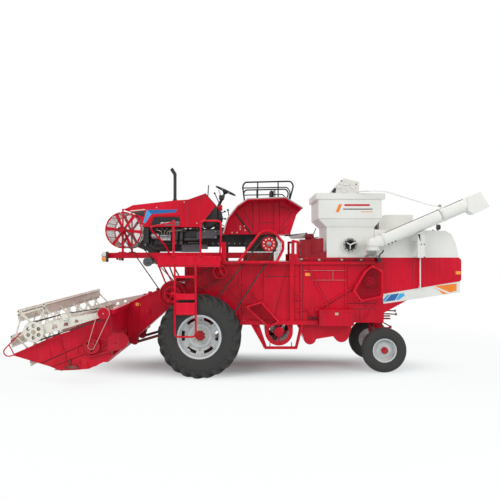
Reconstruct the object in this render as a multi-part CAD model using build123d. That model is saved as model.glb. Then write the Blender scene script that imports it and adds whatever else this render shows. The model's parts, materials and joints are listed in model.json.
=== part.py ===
# Tractor-mounted combine harvester, built as separate named pieces, in millimetres.
# The machine faces -X, its left side is -Y and +Z is up.
# The origin is on the ground under the middle of the machine's outline.
import math
import os

from build123d import *

os.makedirs("parts", exist_ok=True)

# Wheels
DRIVE_X = -975.0
DRIVE_R = 715.0
DRIVE_W = 430.0
DRIVE_Y = 1100.0
DRIVE_RIM_R = 362.0
DRIVE_SHAFT_R = 40.0
REAR_X = 2300.0
REAR_R = 402.0
REAR_W = 205.0
REAR_Y = 700.0
REAR_RIM_R = 205.0
KINGPIN_Y = 470.0
LUG_COUNT = 22
LUG_HEIGHT = 34.0
LUG_WIDTH = 44.0
RIM_SLOTS = 6

# Body
SIDE_Y = 620.0
SHEET = 8.0
DECK_Z = 1990.0
BODY_FRONT_X = -1290.0
BODY_REAR_X = 2200.0
TANK_BASE_Z = 2064.0
FLOOR_FRONT_Z = DRIVE_R + 226.0
FLOOR_REAR_Z = 891.0
FLOOR_KNEE_X = -290.0
SILL_X = 1120.0

# Feeder and header
PIVOT_X = -1500.0
PIVOT_Z = 1400.0
PIVOT_SHAFT_R = 30.0
FEEDER_Y = 500.0
HEADER_Y = 1850.0
AUGER_X = -2760.0
AUGER_Z = 590.0
AUGER_R = 240.0
AUGER_TUBE_R = 150.0
FLIGHT_PITCH = 430.0
FINGER_COUNT = 12
REEL_X = -3556.0
REEL_Z = 895.0
REEL_R = 450.0
REEL_BATS = 6
REEL_PHASE = 135.0
REEL_Y = 1790.0
REEL_STARS = 6
REEL_PULLEY_R = 158.0
TINE_PITCH = 110.0
TINE_REACH = 170.0
ARM_PIVOT_X = -2438.0
ARM_PIVOT_Z = 1190.0
ARM_PULLEY_R = 86.0
IDLER_X = -3054.0
IDLER_Z = 1132.0
IDLER_R = 48.0
BELT_SEAT = 0.3
RUN_GAP = 0.05

# Lift cylinders
RAM_Y = 400.0
RAM_A_X = -1180.0
RAM_A_Z = 800.0
RAM_B_X = -2226.0
RAM_B_Z = 494.0
RAM_PIN_R = 16.0
RAM_EYE_PLAY = 12.5

# Unloader
SWING_X = 2068.0
SWING_Y = -850.0
TUBE_R = 117.0
TUBE_RISE = 0.4316
TUBE_Z0 = 2290.0

# Rotary screen in front of the radiator
SCREEN_X = -2455.0
SCREEN_Z = 2568.0
SCREEN_R = 340.0
SCREEN_Y = 380.0
SCREEN_GAP = 24.0
SCREEN_SPOKES = 6
SCREEN_PULLEY_R = 46.0
SCREEN_BELT_Y = -572.0
FEEDER_PULLEY_R = 158.0


def box(x0, x1, y0, y1, z0, z1):
    # Block between two corners.
    size = Box(abs(x1 - x0), abs(y1 - y0), abs(z1 - z0))
    return Pos((x0 + x1) / 2, (y0 + y1) / 2, (z0 + z1) / 2) * size


def prism_xz(points, y0, y1):
    # Side outline pulled across the machine from y0 to y1.
    low = min(y0, y1)
    wire = Wire.make_polygon([Vector(x, low, z) for x, z in points], close=True)
    return extrude(Face(wire), amount=abs(y1 - y0), dir=(0, 1, 0))


def prism_xy(points, z0, z1):
    # Plan outline pulled up from z0 to z1.
    low = min(z0, z1)
    wire = Wire.make_polygon([Vector(x, y, low) for x, y in points], close=True)
    return extrude(Face(wire), amount=abs(z1 - z0), dir=(0, 0, 1))


def prism_yz(points, x0, x1):
    # Front outline pulled along the machine from x0 to x1.
    low = min(x0, x1)
    wire = Wire.make_polygon([Vector(low, y, z) for y, z in points], close=True)
    return extrude(Face(wire), amount=abs(x1 - x0), dir=(1, 0, 0))


def rod(p, q, r):
    # Round bar between two points.
    start = Vector(*p)
    way = Vector(*q) - start
    return Solid.make_cylinder(r, way.length, Plane(origin=start, z_dir=way))


def pipe_run(points, r):
    # Bent round bar: straight lengths with a ball at each bend.
    pieces = []
    for a, b in zip(points[:-1], points[1:]):
        pieces.append(rod(a, b, r))
    for p in points[1:-1]:
        pieces.append(Pos(*p) * Sphere(r))
    return join(pieces)


def across(x, z, r, y0, y1):
    # Round piece lying across the machine.
    return rod((x, min(y0, y1), z), (x, max(y0, y1), z), r)


def ring_across(x, z, ro, ri, y0, y1):
    # Round ring lying across the machine.
    return across(x, z, ro, y0, y1) - across(x, z, ri, min(y0, y1) - 1, max(y0, y1) + 1)


def bar_xz(p, q, y0, y1, h):
    # Flat bar between two points of a side view, h deep.
    dx = q[0] - p[0]
    dz = q[1] - p[1]
    n = math.hypot(dx, dz)
    ox = -dz / n * h / 2
    oz = dx / n * h / 2
    points = [
        (p[0] + ox, p[1] + oz),
        (q[0] + ox, q[1] + oz),
        (q[0] - ox, q[1] - oz),
        (p[0] - ox, p[1] - oz),
    ]
    return prism_xz(points, y0, y1)


def strut(p, q, a, b=None):
    # Square or flat bar between any two points.
    start = Vector(*p)
    way = Vector(*q) - start
    section = Plane(origin=start, z_dir=way) * Rectangle(a, b or a)
    return extrude(section, amount=way.length, dir=way.normalized())


def join(pieces):
    # One shape from many overlapping pieces.
    first = pieces[0]
    if len(pieces) == 1:
        return first
    return Part() + first + pieces[1:]


def flip(shape):
    # The same piece on the other side of the machine.
    return mirror(shape, about=Plane.XZ)


def frame_ring(points, width, y0, y1):
    # Flat bar frame that follows a closed outline.
    pieces = []
    count = len(points)
    for i in range(count):
        a = points[i]
        b = points[(i + 1) % count]
        pieces.append(bar_xz(a, b, y0, y1, width))
        pieces.append(across(a[0], a[1], width / 2, y0, y1))
    return join(pieces)


def strip(points, t, y0, y1):
    # Bent sheet that follows a line, t thick.
    pieces = []
    for a, b in zip(points[:-1], points[1:]):
        pieces.append(bar_xz(a, b, y0, y1, t))
    for p in points[1:-1]:
        pieces.append(across(p[0], p[1], t / 2, y0, y1))
    return join(pieces)


def belt_body(c1, a, c2, b, y0, y1):
    # Filled outline of a belt round two pulleys of radius a and b.
    dx = c2[0] - c1[0]
    dz = c2[1] - c1[1]
    d = math.hypot(dx, dz)
    base = math.atan2(dz, dx)
    lean = math.acos((a - b) / d)
    corners = [
        (c1[0] + a * math.cos(base + lean), c1[1] + a * math.sin(base + lean)),
        (c2[0] + b * math.cos(base + lean), c2[1] + b * math.sin(base + lean)),
        (c2[0] + b * math.cos(base - lean), c2[1] + b * math.sin(base - lean)),
        (c1[0] + a * math.cos(base - lean), c1[1] + a * math.sin(base - lean)),
    ]
    pieces = [
        prism_xz(corners, y0, y1),
        across(c1[0], c1[1], a, y0, y1),
        across(c2[0], c2[1], b, y0, y1),
    ]
    return join(pieces)


def belt_loop(c1, r1, c2, r2, t, y0, y1):
    # Flat belt of thickness t around two pulleys.
    low = min(y0, y1)
    high = max(y0, y1)
    outer = belt_body(c1, r1 + t, c2, r2 + t, low, high)
    return outer - belt_body(c1, r1, c2, r2, low - 1, high + 1)


def belt_hull(wheels, grow, y0, y1):
    # Filled outline of a belt round three wheels, each (x, z, radius).
    pieces = [prism_xz([(x, z) for x, z, r in wheels], y0, y1)]
    for i in range(3):
        x1, z1, r1 = wheels[i]
        x2, z2, r2 = wheels[(i + 1) % 3]
        pieces.append(belt_body((x1, z1), r1 + grow, (x2, z2), r2 + grow, y0, y1))
    return join(pieces)


def spoked_wheel(x, z, r, rim, hub, bore, y0, y1, count, width):
    # Belt wheel with a rim, a hub and flat spokes.
    mid = (y0 + y1) / 2
    pieces = [
        ring_across(x, z, r, r - rim, y0, y1),
        ring_across(x, z, hub, bore, y0 - 3, y1 + 3),
    ]
    for i in range(count):
        ang = math.radians(90 + 360 / count * i)
        inner = (x + (hub - 4) * math.cos(ang), z + (hub - 4) * math.sin(ang))
        outer = (x + (r - rim / 2) * math.cos(ang), z + (r - rim / 2) * math.sin(ang))
        pieces.append(bar_xz(inner, outer, mid - 5, mid + 5, width))
    return join(pieces)


def holed_wheel(x, z, r, count, at, hole, y0, y1):
    # Disc wheel with a ring of round holes.
    shape = across(x, z, r, y0, y1)
    for i in range(count):
        ang = math.radians(30 + 360 / count * i)
        shape = shape - across(x + at * math.cos(ang), z + at * math.sin(ang), hole, y0 - 1, y1 + 1)
    return shape


def faceted(quads):
    # Closed solid from four-cornered faces, each split into two flat triangles.
    faces = []
    for a, b, c, d in quads:
        faces.append(Face(Wire.make_polygon([Vector(*a), Vector(*b), Vector(*c)], close=True)))
        faces.append(Face(Wire.make_polygon([Vector(*a), Vector(*c), Vector(*d)], close=True)))
    return Solid(Shell(faces))


def floor_z(x):
    # Height of the body floor's middle line behind the drive wheels.
    share = (x - FLOOR_KNEE_X) / (SILL_X - FLOOR_KNEE_X)
    return FLOOR_FRONT_Z + (FLOOR_REAR_Z - FLOOR_FRONT_Z) * share


def turned(profile, x, z):
    # Ring from a (radius, y) outline turned about a line across the machine.
    wire = Wire.make_polygon([Vector(r, y, 0) for r, y in profile], close=True)
    ring = revolve(Face(wire), axis=Axis.Y, revolution_arc=360)
    return Pos(x, 0, z) * ring


PARTS = {}


def save(name, shape):
    # Keep a piece until all of them are cut to fit.
    PARTS[name] = shape


def trim(name, tool):
    # Cut a piece back to the face of the piece that it sits on.
    cutters = PARTS[tool].solids()
    kept = []
    for solid in PARTS[name].solids():
        near = [c for c in cutters if boxes_meet(solid, c)]
        if not near:
            kept.append(solid)
            continue
        left = solid.cut(*near)
        left = left.solids()
        top = max(piece.volume for piece in left)
        kept += [piece for piece in left if piece.volume > top * 0.02]
    PARTS[name] = Compound(kept)


def boxes_meet(one, two):
    a = one.bounding_box()
    b = two.bounding_box()
    apart_x = a.min.X > b.max.X or b.min.X > a.max.X
    apart_y = a.min.Y > b.max.Y or b.min.Y > a.max.Y
    apart_z = a.min.Z > b.max.Z or b.min.Z > a.max.Z
    return not (apart_x or apart_y or apart_z)


# Wheels

def drive_tyre():
    side = DRIVE_W / 2
    tread = DRIVE_R - LUG_HEIGHT
    half = [
        (DRIVE_RIM_R, side * 0.78),
        (DRIVE_RIM_R + 90, side * 0.96),
        (DRIVE_R - 160, side - 4),
        (tread - 46, side * 0.88),
        (tread, side * 0.6),
    ]
    profile = [(r, DRIVE_Y - y) for r, y in half] + [(r, DRIVE_Y + y) for r, y in reversed(half)]
    carcass = turned(profile, DRIVE_X, DRIVE_R)
    return join([carcass] + drive_lugs())


def drive_lugs():
    # Slanted bars on each half of the tread, half a pitch apart, that run down over the shoulder.
    side = DRIVE_W / 2
    shoulder = [
        (DRIVE_R - 70, 5),
        (DRIVE_R, 5),
        (DRIVE_R, side * 0.74),
        (DRIVE_R - 32, side),
        (DRIVE_R - 140, side),
        (DRIVE_R - 140, side * 0.8),
    ]
    pieces = []
    for s in (-1, 1):
        band = turned([(r, s * y) for r, y in shoulder], 0, 0)
        bar = Pos(0, 0, DRIVE_R - 60) * Rot(0, 0, s * -42) * Pos(0, s * 150, 0) * Box(LUG_WIDTH, 330, 260)
        lug = band & bar
        for i in range(LUG_COUNT):
            turn = 360 / LUG_COUNT * (i + (0.5 if s > 0 else 0.0))
            pieces.append(Pos(DRIVE_X, DRIVE_Y, DRIVE_R) * Rot(0, turn, 0) * lug)
    return pieces


def drive_rim():
    side = DRIVE_W / 2 * 0.78
    profile = [
        (60, DRIVE_Y - 30),
        (150, DRIVE_Y - 30),
        (160, DRIVE_Y - 14),
        (200, DRIVE_Y - 14),
        (214, DRIVE_Y - 30),
        (250, DRIVE_Y - 30),
        (296, DRIVE_Y - 10),
        (DRIVE_RIM_R - 14, DRIVE_Y - 10),
        (DRIVE_RIM_R - 14, DRIVE_Y - side),
        (DRIVE_RIM_R + 20, DRIVE_Y - side - 8),
        (DRIVE_RIM_R + 20, DRIVE_Y - side - 1),
        (DRIVE_RIM_R, DRIVE_Y - side),
        (DRIVE_RIM_R, DRIVE_Y + side),
        (DRIVE_RIM_R + 20, DRIVE_Y + side + 1),
        (DRIVE_RIM_R + 20, DRIVE_Y + side + 8),
        (DRIVE_RIM_R - 14, DRIVE_Y + side),
        (DRIVE_RIM_R - 14, DRIVE_Y + 10),
        (300, DRIVE_Y + 10),
        (256, DRIVE_Y - 10),
        (218, DRIVE_Y - 10),
        (204, DRIVE_Y + 6),
        (156, DRIVE_Y + 6),
        (146, DRIVE_Y - 10),
        (60, DRIVE_Y - 10),
    ]
    shape = turned(profile, DRIVE_X, DRIVE_R)
    for i in range(RIM_SLOTS):
        slot = []
        for r, turns in ((268, (-17, -9, 0, 9, 17)), (322, (17, 9, 0, -9, -17))):
            for turn in turns:
                ang = math.radians(360 / RIM_SLOTS * i + turn)
                slot.append((DRIVE_X + r * math.cos(ang), DRIVE_R + r * math.sin(ang)))
        shape = shape - prism_xz(slot, DRIVE_Y - 60, DRIVE_Y + 60)
    return shape


def drive_hub():
    bore = DRIVE_SHAFT_R + RUN_GAP
    profile = [
        (bore, DRIVE_Y - 60),
        (150, DRIVE_Y - 60),
        (150, DRIVE_Y - 30),
        (60, DRIVE_Y - 30),
        (60, DRIVE_Y + 80),
        (40, DRIVE_Y + 100),
        (0, DRIVE_Y + 100),
        (0, DRIVE_Y + 60),
        (bore, DRIVE_Y + 60),
    ]
    return turned(profile, DRIVE_X, DRIVE_R)


def rear_tyre():
    side = REAR_W / 2
    half = [
        (REAR_RIM_R, side * 0.72),
        (REAR_RIM_R + 60, side),
        (REAR_R - 70, side),
        (REAR_R - 22, side * 0.76),
        (REAR_R - 8, side * 0.56),
        (REAR_R - 16, side * 0.52),
        (REAR_R - 16, side * 0.44),
        (REAR_R - 4, side * 0.40),
        (REAR_R, side * 0.20),
        (REAR_R - 12, side * 0.17),
        (REAR_R - 12, side * 0.08),
        (REAR_R, side * 0.05),
    ]
    profile = [(r, REAR_Y - y) for r, y in half] + [(r, REAR_Y + y) for r, y in reversed(half)]
    return turned(profile, REAR_X, REAR_R)


def rear_rim():
    side = REAR_W / 2 * 0.72
    profile = [
        (48, REAR_Y - 6),
        (120, REAR_Y - 6),
        (165, REAR_Y - 22),
        (REAR_RIM_R - 10, REAR_Y - 22),
        (REAR_RIM_R - 10, REAR_Y - side),
        (REAR_RIM_R + 16, REAR_Y - side - 6),
        (REAR_RIM_R + 16, REAR_Y - side - 1),
        (REAR_RIM_R, REAR_Y - side),
        (REAR_RIM_R, REAR_Y + side),
        (REAR_RIM_R + 16, REAR_Y + side + 1),
        (REAR_RIM_R + 16, REAR_Y + side + 6),
        (REAR_RIM_R - 10, REAR_Y + side),
        (REAR_RIM_R - 10, REAR_Y - 12),
        (165, REAR_Y - 12),
        (120, REAR_Y + 6),
        (48, REAR_Y + 6),
    ]
    return turned(profile, REAR_X, REAR_R)


def rear_hub():
    profile = [
        (22.05, REAR_Y - 60),
        (70, REAR_Y - 60),
        (100, REAR_Y - 20),
        (100, REAR_Y - 6.3),
        (47.7, REAR_Y - 6.3),
        (47.7, REAR_Y + 50),
        (30, REAR_Y + 70),
        (0, REAR_Y + 70),
        (0, REAR_Y + 60.1),
        (22.05, REAR_Y + 60.1),
    ]
    return turned(profile, REAR_X, REAR_R)


def knuckle():
    y = KINGPIN_Y
    pieces = [
        rod((REAR_X, y, 520), (REAR_X, y, 790), 25),
        rod((REAR_X, y, 520), (REAR_X, y, 588), 44),
        box(REAR_X - 32, REAR_X + 32, y - 28, y + 28, REAR_R - 22, 560),
        across(REAR_X, REAR_R, 44, y - 28, y + 60),
        across(REAR_X, REAR_R, 22, y, REAR_Y + 60),
        rod((REAR_X, y, 752), (REAR_X, y, 790), 44),
        box(REAR_X, REAR_X + 170, y - 22, y + 22, 762, 782),
        rod((REAR_X + 170, y, 762), (REAR_X + 170, y, 782), 26),
        rod((REAR_X + 170, y, 782), (REAR_X + 170, y, 808), 10),
    ]
    return join(pieces)


def tie_rod():
    z = 797.0
    x = REAR_X + 170
    pieces = [across(x, z, 11, -KINGPIN_Y + 20, KINGPIN_Y - 20)]
    for y in (-KINGPIN_Y, KINGPIN_Y):
        eye = rod((x, y, z - 12), (x, y, z + 12), 24)
        pieces.append(eye)
    shape = join(pieces)
    for y in (-KINGPIN_Y, KINGPIN_Y):
        shape = shape - rod((x, y, z - 20), (x, y, z + 20), 10 + RUN_GAP)
    return shape


# Chassis

def drive_axle():
    x = DRIVE_X
    z = DRIVE_R
    pieces = [
        across(x, z, 85, -DRIVE_Y + 66, DRIVE_Y - 66),
        across(x, z, DRIVE_SHAFT_R, -DRIVE_Y - 55, DRIVE_Y + 55),
        across(x, z, 190, -210, 210),
        box(x - 150, x + 150, -560, -470, z - 60, FLOOR_FRONT_Z - 4),
        box(x - 150, x + 150, 470, 560, z - 60, FLOOR_FRONT_Z - 4),
        across(x, z, 140, -880, -800),
        across(x, z, 140, 800, 880),
    ]
    for y in (-RAM_Y, RAM_Y):
        for edge in (-46, 30):
            pieces.append(prism_xz(
                [(x - 20, z + 120), (x - 20, z - 40), (RAM_A_X - 45, RAM_A_Z - 45), (RAM_A_X - 45, RAM_A_Z + 45)],
                y + edge, y + edge + 16))
        pieces.append(across(RAM_A_X, RAM_A_Z, 22, y - 46, y + 46))
    return join(pieces)


def rear_axle():
    pieces = [
        box(REAR_X - 55, REAR_X + 55, -KINGPIN_Y + 20, KINGPIN_Y - 20, 600, 740),
        prism_xz([(2190, 884), (2410, 884), (2370, 735), (2230, 735)], -170, -150),
        prism_xz([(2190, 884), (2410, 884), (2370, 735), (2230, 735)], 150, 170),
        box(2190, 2410, -170, 170, 868, 884),
        across(REAR_X, 760, 34, -185, 185),
    ]
    for y in (-KINGPIN_Y, KINGPIN_Y):
        pieces.append(rod((REAR_X, y, 592), (REAR_X, y, 748), 46))
    shape = join(pieces)
    for y in (-KINGPIN_Y, KINGPIN_Y):
        shape = shape - rod((REAR_X, y, 580), (REAR_X, y, 760), 25 + RUN_GAP)
    return shape


def side_outline():
    return [
        (BODY_FRONT_X, DECK_Z),
        (BODY_FRONT_X, FLOOR_FRONT_Z + 239),
        (-1160, FLOOR_FRONT_Z - 6),
        (FLOOR_KNEE_X, FLOOR_FRONT_Z - 11),
        (SILL_X, FLOOR_REAR_Z - 7),
        (BODY_REAR_X, FLOOR_REAR_Z - 7),
        (BODY_REAR_X, DECK_Z),
    ]


def body_side():
    # Side plate with its ribs: start, end, width and how far each stands out.
    plate = prism_xz(side_outline(), -SIDE_Y, -SIDE_Y + SHEET)
    ribs = [
        (-290, 940, -290, 1985, 36, 22),
        (119, 1290, 119, 1985, 22, 14),
        (821, 900, 821, 1985, 36, 22),
        (1632, 900, 1632, 1985, 36, 22),
        (903, 1955, 1303, 1185, 34, 26),
        (-478, 1494, -192, 1196, 30, 20),
        (-271, 1633, 49, 1287, 30, 20),
        (-1230, 1700, -760, 1330, 26, 16),
        (-760, 1330, -478, 1494, 26, 16),
        (575, 1900, 348, 1010, 16, 12),
        (692, 1399, 836, 1399, 16, 26),
        (860, 1822, 1629, 1822, 14, 12),
        (1013, 1648, 1629, 1648, 14, 12),
        (1401, 1648, 1401, 1822, 14, 12),
        (1650, 1250, 2190, 1250, 20, 14),
        (1900, 900, 2190, 1240, 22, 14),
    ]
    pieces = [plate]
    for x0, z0, x1, z1, wide, out in ribs:
        pieces.append(bar_xz((x0, z0), (x1, z1), -SIDE_Y - out, -SIDE_Y + 1, wide))
    for x, z, r in ((-288, 1603, 30), (-60, 1440, 26), (1028, 1069, 24), (1743, 1516, 24), (1100, 1120, 40)):
        pieces.append(across(x, z, r, -SIDE_Y - 34, -SIDE_Y + 1))
    pieces.append(bar_xz((1028, 1069), (1743, 1516), -SIDE_Y - 32, -SIDE_Y - 18, 18))
    return join(pieces)


def body_deck():
    inner = SIDE_Y - SHEET - 0.3
    pieces = [
        box(BODY_FRONT_X, BODY_REAR_X, -inner, inner, DECK_Z - 12, DECK_Z),
        box(BODY_FRONT_X, BODY_FRONT_X + 8, -inner, inner, 1760, DECK_Z),
    ]
    return join(pieces)


def body_floor():
    inner = SIDE_Y - SHEET - 0.3
    line = [
        (BODY_FRONT_X + 20, FLOOR_FRONT_Z + 225),
        (-1150, FLOOR_FRONT_Z),
        (FLOOR_KNEE_X, FLOOR_FRONT_Z),
        (SILL_X, FLOOR_REAR_Z),
        (BODY_REAR_X, FLOOR_REAR_Z),
    ]
    return strip(line, 8, -inner, inner)


def side_frame():
    y0 = -SIDE_Y - 62
    y1 = -SIDE_Y
    pieces = [
        box(-290, 1120, y0, y1, 850, 926),
        box(-1290, 2150, y0 + 10, y1, 1940, 1989),
        box(610, 680, y0, y1, 900, 2119),
        box(650, 765, y0, y1, 1985, 2372),
        box(-624, -544, y0, y1, 1940, 2343),
        box(-1290, -1240, y0 + 10, y1, 1600, 1989),
    ]
    return join(pieces) - box(694, 730, y0 - 1, y1 + 1, 2130, 2330)


def cradle():
    pieces = []
    for y in (-470, 470):
        pieces.append(box(-2772, -200, y - 30, y + 30, 2050, 2150))
        for x in (-1240, -600):
            pieces.append(box(x - 40, x + 40, y - 30, y + 30, DECK_Z, 2052))
    for x in (-2742, -1780, -1300, -640, -230):
        pieces.append(box(x - 30, x + 30, -480, 480, 2060, 2140))
    pieces.append(box(-2772, -2712, -620, 620, 2060, 2140))
    pieces.append(box(-230, 330, -440, -380, DECK_Z, 2150))
    pieces.append(box(-230, 330, 380, 440, DECK_Z, 2150))
    return join(pieces)


def platform():
    y0 = -1300
    pieces = [
        box(-1681, -613, y0, y0 + 50, 1910, 2090),
        box(-1681, -613, y0, -500, 2084, 2092),
        box(-1681, -1621, y0, -500, 1990, 2086),
        box(-673, -613, y0, -500, 1995, 2086),
        box(-1230, -1170, y0, -500, 1995, 2086),
    ]
    return join(pieces)


def handrail():
    y = -1280
    r = 17
    pieces = [
        pipe_run([(-1410, y, 2000), (-1410, y, 2687)], 20),
        pipe_run([(-951, y, 2080), (-951, y, 2697), (-603, y, 2697), (-603, y, 2400), (-640, -1000, 2088)], r),
        pipe_run([(-1410, y, 2670), (-1900, -900, 2600), (-1648, -640, 2299), (-1574, -500, 2100)], r),
    ]
    return join(pieces)


def ladder():
    y0 = -1400
    y1 = -1345
    pieces = [
        box(-1396, -1353, y0, y1, 716, 1972),
        box(-1038, -1008, y0, y1, 716, 1972),
        box(-1396, -1008, y0, y1, 716, 750),
        box(-1356, -1036, y0 - 4, y0 + 20, 1364, 1466),
        box(-1356, -1036, y0 - 4, y0 + 20, 1108, 1317),
        box(-1356, -1036, y0 + 6, y1, 1729, 1775),
        box(-1396, -1353, y1 - 1, -1300, 1915, 1965),
        box(-1038, -1008, y1 - 1, -1300, 1915, 1965),
    ]
    return join(pieces)


def pivot_ring():
    y0 = -SIDE_Y - 42
    y1 = -SIDE_Y - 22
    pieces = [
        ring_across(PIVOT_X, PIVOT_Z, 250, 222, y0, y1),
        across(PIVOT_X, PIVOT_Z, 224, y1 - 8, y1),
        across(PIVOT_X, PIVOT_Z, 60, y0 + 4, y1 + 20),
        bar_xz((PIVOT_X + 220, PIVOT_Z), (BODY_FRONT_X + 60, PIVOT_Z + 60), y0, y1 + 22, 90),
        bar_xz((-1805, 2030), (PIVOT_X - 130, PIVOT_Z + 190), y0, y1, 26),
        bar_xz((-1745, 2030), (PIVOT_X - 20, PIVOT_Z + 230), y0, y1, 26),
        box(-1840, -1700, y0, -440, 2020, 2050),
    ]
    shape = join(pieces)
    return shape - across(PIVOT_X, PIVOT_Z, PIVOT_SHAFT_R + RUN_GAP, y0 - 5, y1 + 40)


def fan_housing():
    top = floor_z(160) + 20
    outer = across(415, 719, 255, -600, 600) + box(160, 670, -600, 600, 719, top)
    inner = across(415, 719, 247, -592, 592) + box(168, 662, -592, 592, 719, top + 20)
    hole = across(415, 719, 181, -610, 610)
    above = prism_xz([(100, 1300), (100, floor_z(100) - 4), (760, floor_z(760) - 4), (760, 1300)], -650, 650)
    shape = outer - inner - hole - above
    arms = []
    for s in (-1, 1):
        arms.append(box(393, 437, s * 590, s * 604, 520, 880))
        arms.append(across(415, 719, 55, s * 586, s * 604))
    shape = join([shape] + arms)
    return shape - across(415, 719, 30 + RUN_GAP, -650, 650)


def fan_guard():
    line = [(-82, 858), (165, 425), (732, 425), (840, 858)]
    y0 = -SIDE_Y - 66
    pieces = []
    for a, b in zip(line[:-1], line[1:]):
        pieces.append(bar_xz(a, b, y0, y0 + 26, 26))
    pieces.append(across(165, 425, 13, y0, y0 + 26))
    pieces.append(across(732, 425, 13, y0, y0 + 26))
    pieces.append(bar_xz((-105, 868), (863, 868), y0, -SIDE_Y - 50, 26))
    for x in (250, 640):
        pieces.append(strut((x, y0 + 10, 425), (x + 5, -590, 520), 18))
    return join(pieces)


def fan_rotor():
    pieces = [
        across(415, 719, 30, -640, 640),
        across(415, 719, 89, -640, -610),
    ]
    for i in range(6):
        ang = math.radians(60 * i)
        ca = math.cos(ang)
        sa = math.sin(ang)
        pieces.append(bar_xz((415 + 25 * ca, 719 + 25 * sa), (415 + 150 * ca, 719 + 150 * sa), -570, 570, 6))
    return join(pieces)


def lower_troughs():
    half = 600
    outline = [
        (712, floor_z(712) - 4.4), (868, 620), (979, 560), (1120, 586), (1403, 633), (1552, 600), (1690, 640),
        (1760, FLOOR_REAR_Z - 4), (SILL_X, FLOOR_REAR_Z - 4),
    ]
    pieces = [
        prism_xz(outline, -half, half),
        across(979, 595, 112, -half, half),
        across(1552, 659, 135, -half, half),
    ]
    return join(pieces)


def tool_box():
    return box(1124, 1744, -820, -SIDE_Y, 847, 1134)


def grain_tank():
    def loft_box(z0, a0, b0, c0, z1, a1, b1, c1):
        low = Wire.make_polygon([Vector(a0, -c0, z0), Vector(b0, -c0, z0), Vector(b0, c0, z0), Vector(a0, c0, z0)], close=True)
        high = Wire.make_polygon([Vector(a1, -c1, z1), Vector(b1, -c1, z1), Vector(b1, c1, z1), Vector(a1, c1, z1)], close=True)
        return Solid.make_loft([low, high], True)

    t = 6
    outer = join([
        box(1285, 2150, -600, 600, TANK_BASE_Z, 2618),
        loft_box(2618, 1285, 2150, 600, 2768, 1131, 2277, 640),
        box(1131, 2277, -640, 640, 2768, 3120),
        loft_box(3105, 1131, 2277, 640, 3125, 1087, 2334, 665),
        box(1087, 2334, -665, 665, 3125, 3230),
    ])
    inner = join([
        box(1285 + t, 2150 - t, -600 + t, 600 - t, TANK_BASE_Z + t, 2620),
        loft_box(2618, 1285 + t, 2150 - t, 600 - t, 2768, 1131 + t, 2277 - t, 640 - t),
        box(1131 + t, 2277 - t, -640 + t, 640 - t, 2768, 3122),
        loft_box(3112, 1131 + t, 2277 - t, 640 - t, 3131, 1087 + t, 2334 - t, 665 - t),
        box(1087 + t, 2334 - t, -665 + t, 665 - t, 3131, 3300),
    ])
    return outer - inner


def tank_base():
    skirt = box(1230, 2150, -600, 600, DECK_Z - 1, TANK_BASE_Z)
    slope = [(796, DECK_Z - 1), (796, 2062), (1258, 2178), (1284.7, 2178), (1284.7, DECK_Z - 1)]
    boxes = [
        prism_xz([(800, 2055), (800, 2393), (999, 2393), (999, 2100)], -600, -330),
        prism_xz([(1003, 2100), (1003, 2415), (1232, 2415), (1232, 2160)], -560, -300),
    ]
    return join([skirt, prism_xz(slope, -600, 600)] + boxes)


def auger_head():
    # Sheet-metal head of the grain elevator, open towards the front.
    outline = [(1480, 3200), (1480, 3331), (1755, 3620), (2058, 3547), (2044, 3200)]
    inner = [(1488, 3208), (1488, 3327), (1400, 3400), (1680, 3700), (1764, 3610), (2049, 3540), (2036, 3208)]
    return prism_xz(outline, 380, 800) - prism_xz(inner, 388, 792)


def grain_elevator():
    # Chain elevator leg with a round boot, its banded joints and the drive wheel at the boot.
    pieces = [
        box(1560, 1960, 665.3, 800, 900, 3200),
        across(1760, 900, 200, 665.3, 800),
        box(1560, 1960, SIDE_Y + 22, 700, 900, 1900),
        across(1760, 900, 200, SIDE_Y + 22, 700),
        across(1760, 900, 34, 790, 840),
        ring_across(1760, 900, 110, 80, 812, 832),
    ]
    for z in (1240, 1900, 2560, 3150):
        pieces.append(box(1548, 1972, 720, 808, z, z + 24))
    for i in range(4):
        ang = math.radians(45 + 90 * i)
        reach = (1760 + 92 * math.cos(ang), 900 + 92 * math.sin(ang))
        pieces.append(bar_xz((1760, 900), reach, 816, 828, 22))
    return join(pieces)


def tank_flange():
    return across(1701, 2294, 127, -632, -600) + across(1701, 2294, 95, -645, -630)


def hood_cover():
    outer = [(2150.3, TANK_BASE_Z), (2150.3, 2572), (3427, 2550), (3540, 2490), (3620, 2330), (3660, 2160), (3675, TANK_BASE_Z)]
    inner = [(2156, TANK_BASE_Z - 5), (2156, 2566), (3425, 2544), (3535, 2485), (3614, 2328), (3654, 2160), (3669, TANK_BASE_Z - 5)]
    return prism_xz(outer, -SIDE_Y, SIDE_Y) - prism_xz(inner, -SIDE_Y + 6, SIDE_Y - 6)


def straw_hood():
    outline = [(2200.3, TANK_BASE_Z), (3680, TANK_BASE_Z), (3723, 2020), (3723, 1660), (3700, 1634), (2297, 1402), (2200.3, 1387)]
    plate = prism_xz(outline, -SIDE_Y, -SIDE_Y + SHEET)
    pieces = [
        plate,
        flip(plate),
        box(3715, 3723, -SIDE_Y, SIDE_Y, 1660, 2020),
        box(2200.3, 2240, -SIDE_Y, SIDE_Y, 2040, TANK_BASE_Z),
        box(3600, 3640, -SIDE_Y, SIDE_Y, 2040, TANK_BASE_Z),
    ]
    return join(pieces)


def hood_skirt():
    outline = [(2297, 1420), (3700, 1652), (3697, 1435), (2767, 1290), (2314, 1224)]
    return prism_xz(outline, -SIDE_Y + SHEET, -SIDE_Y + SHEET + 8)


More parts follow.
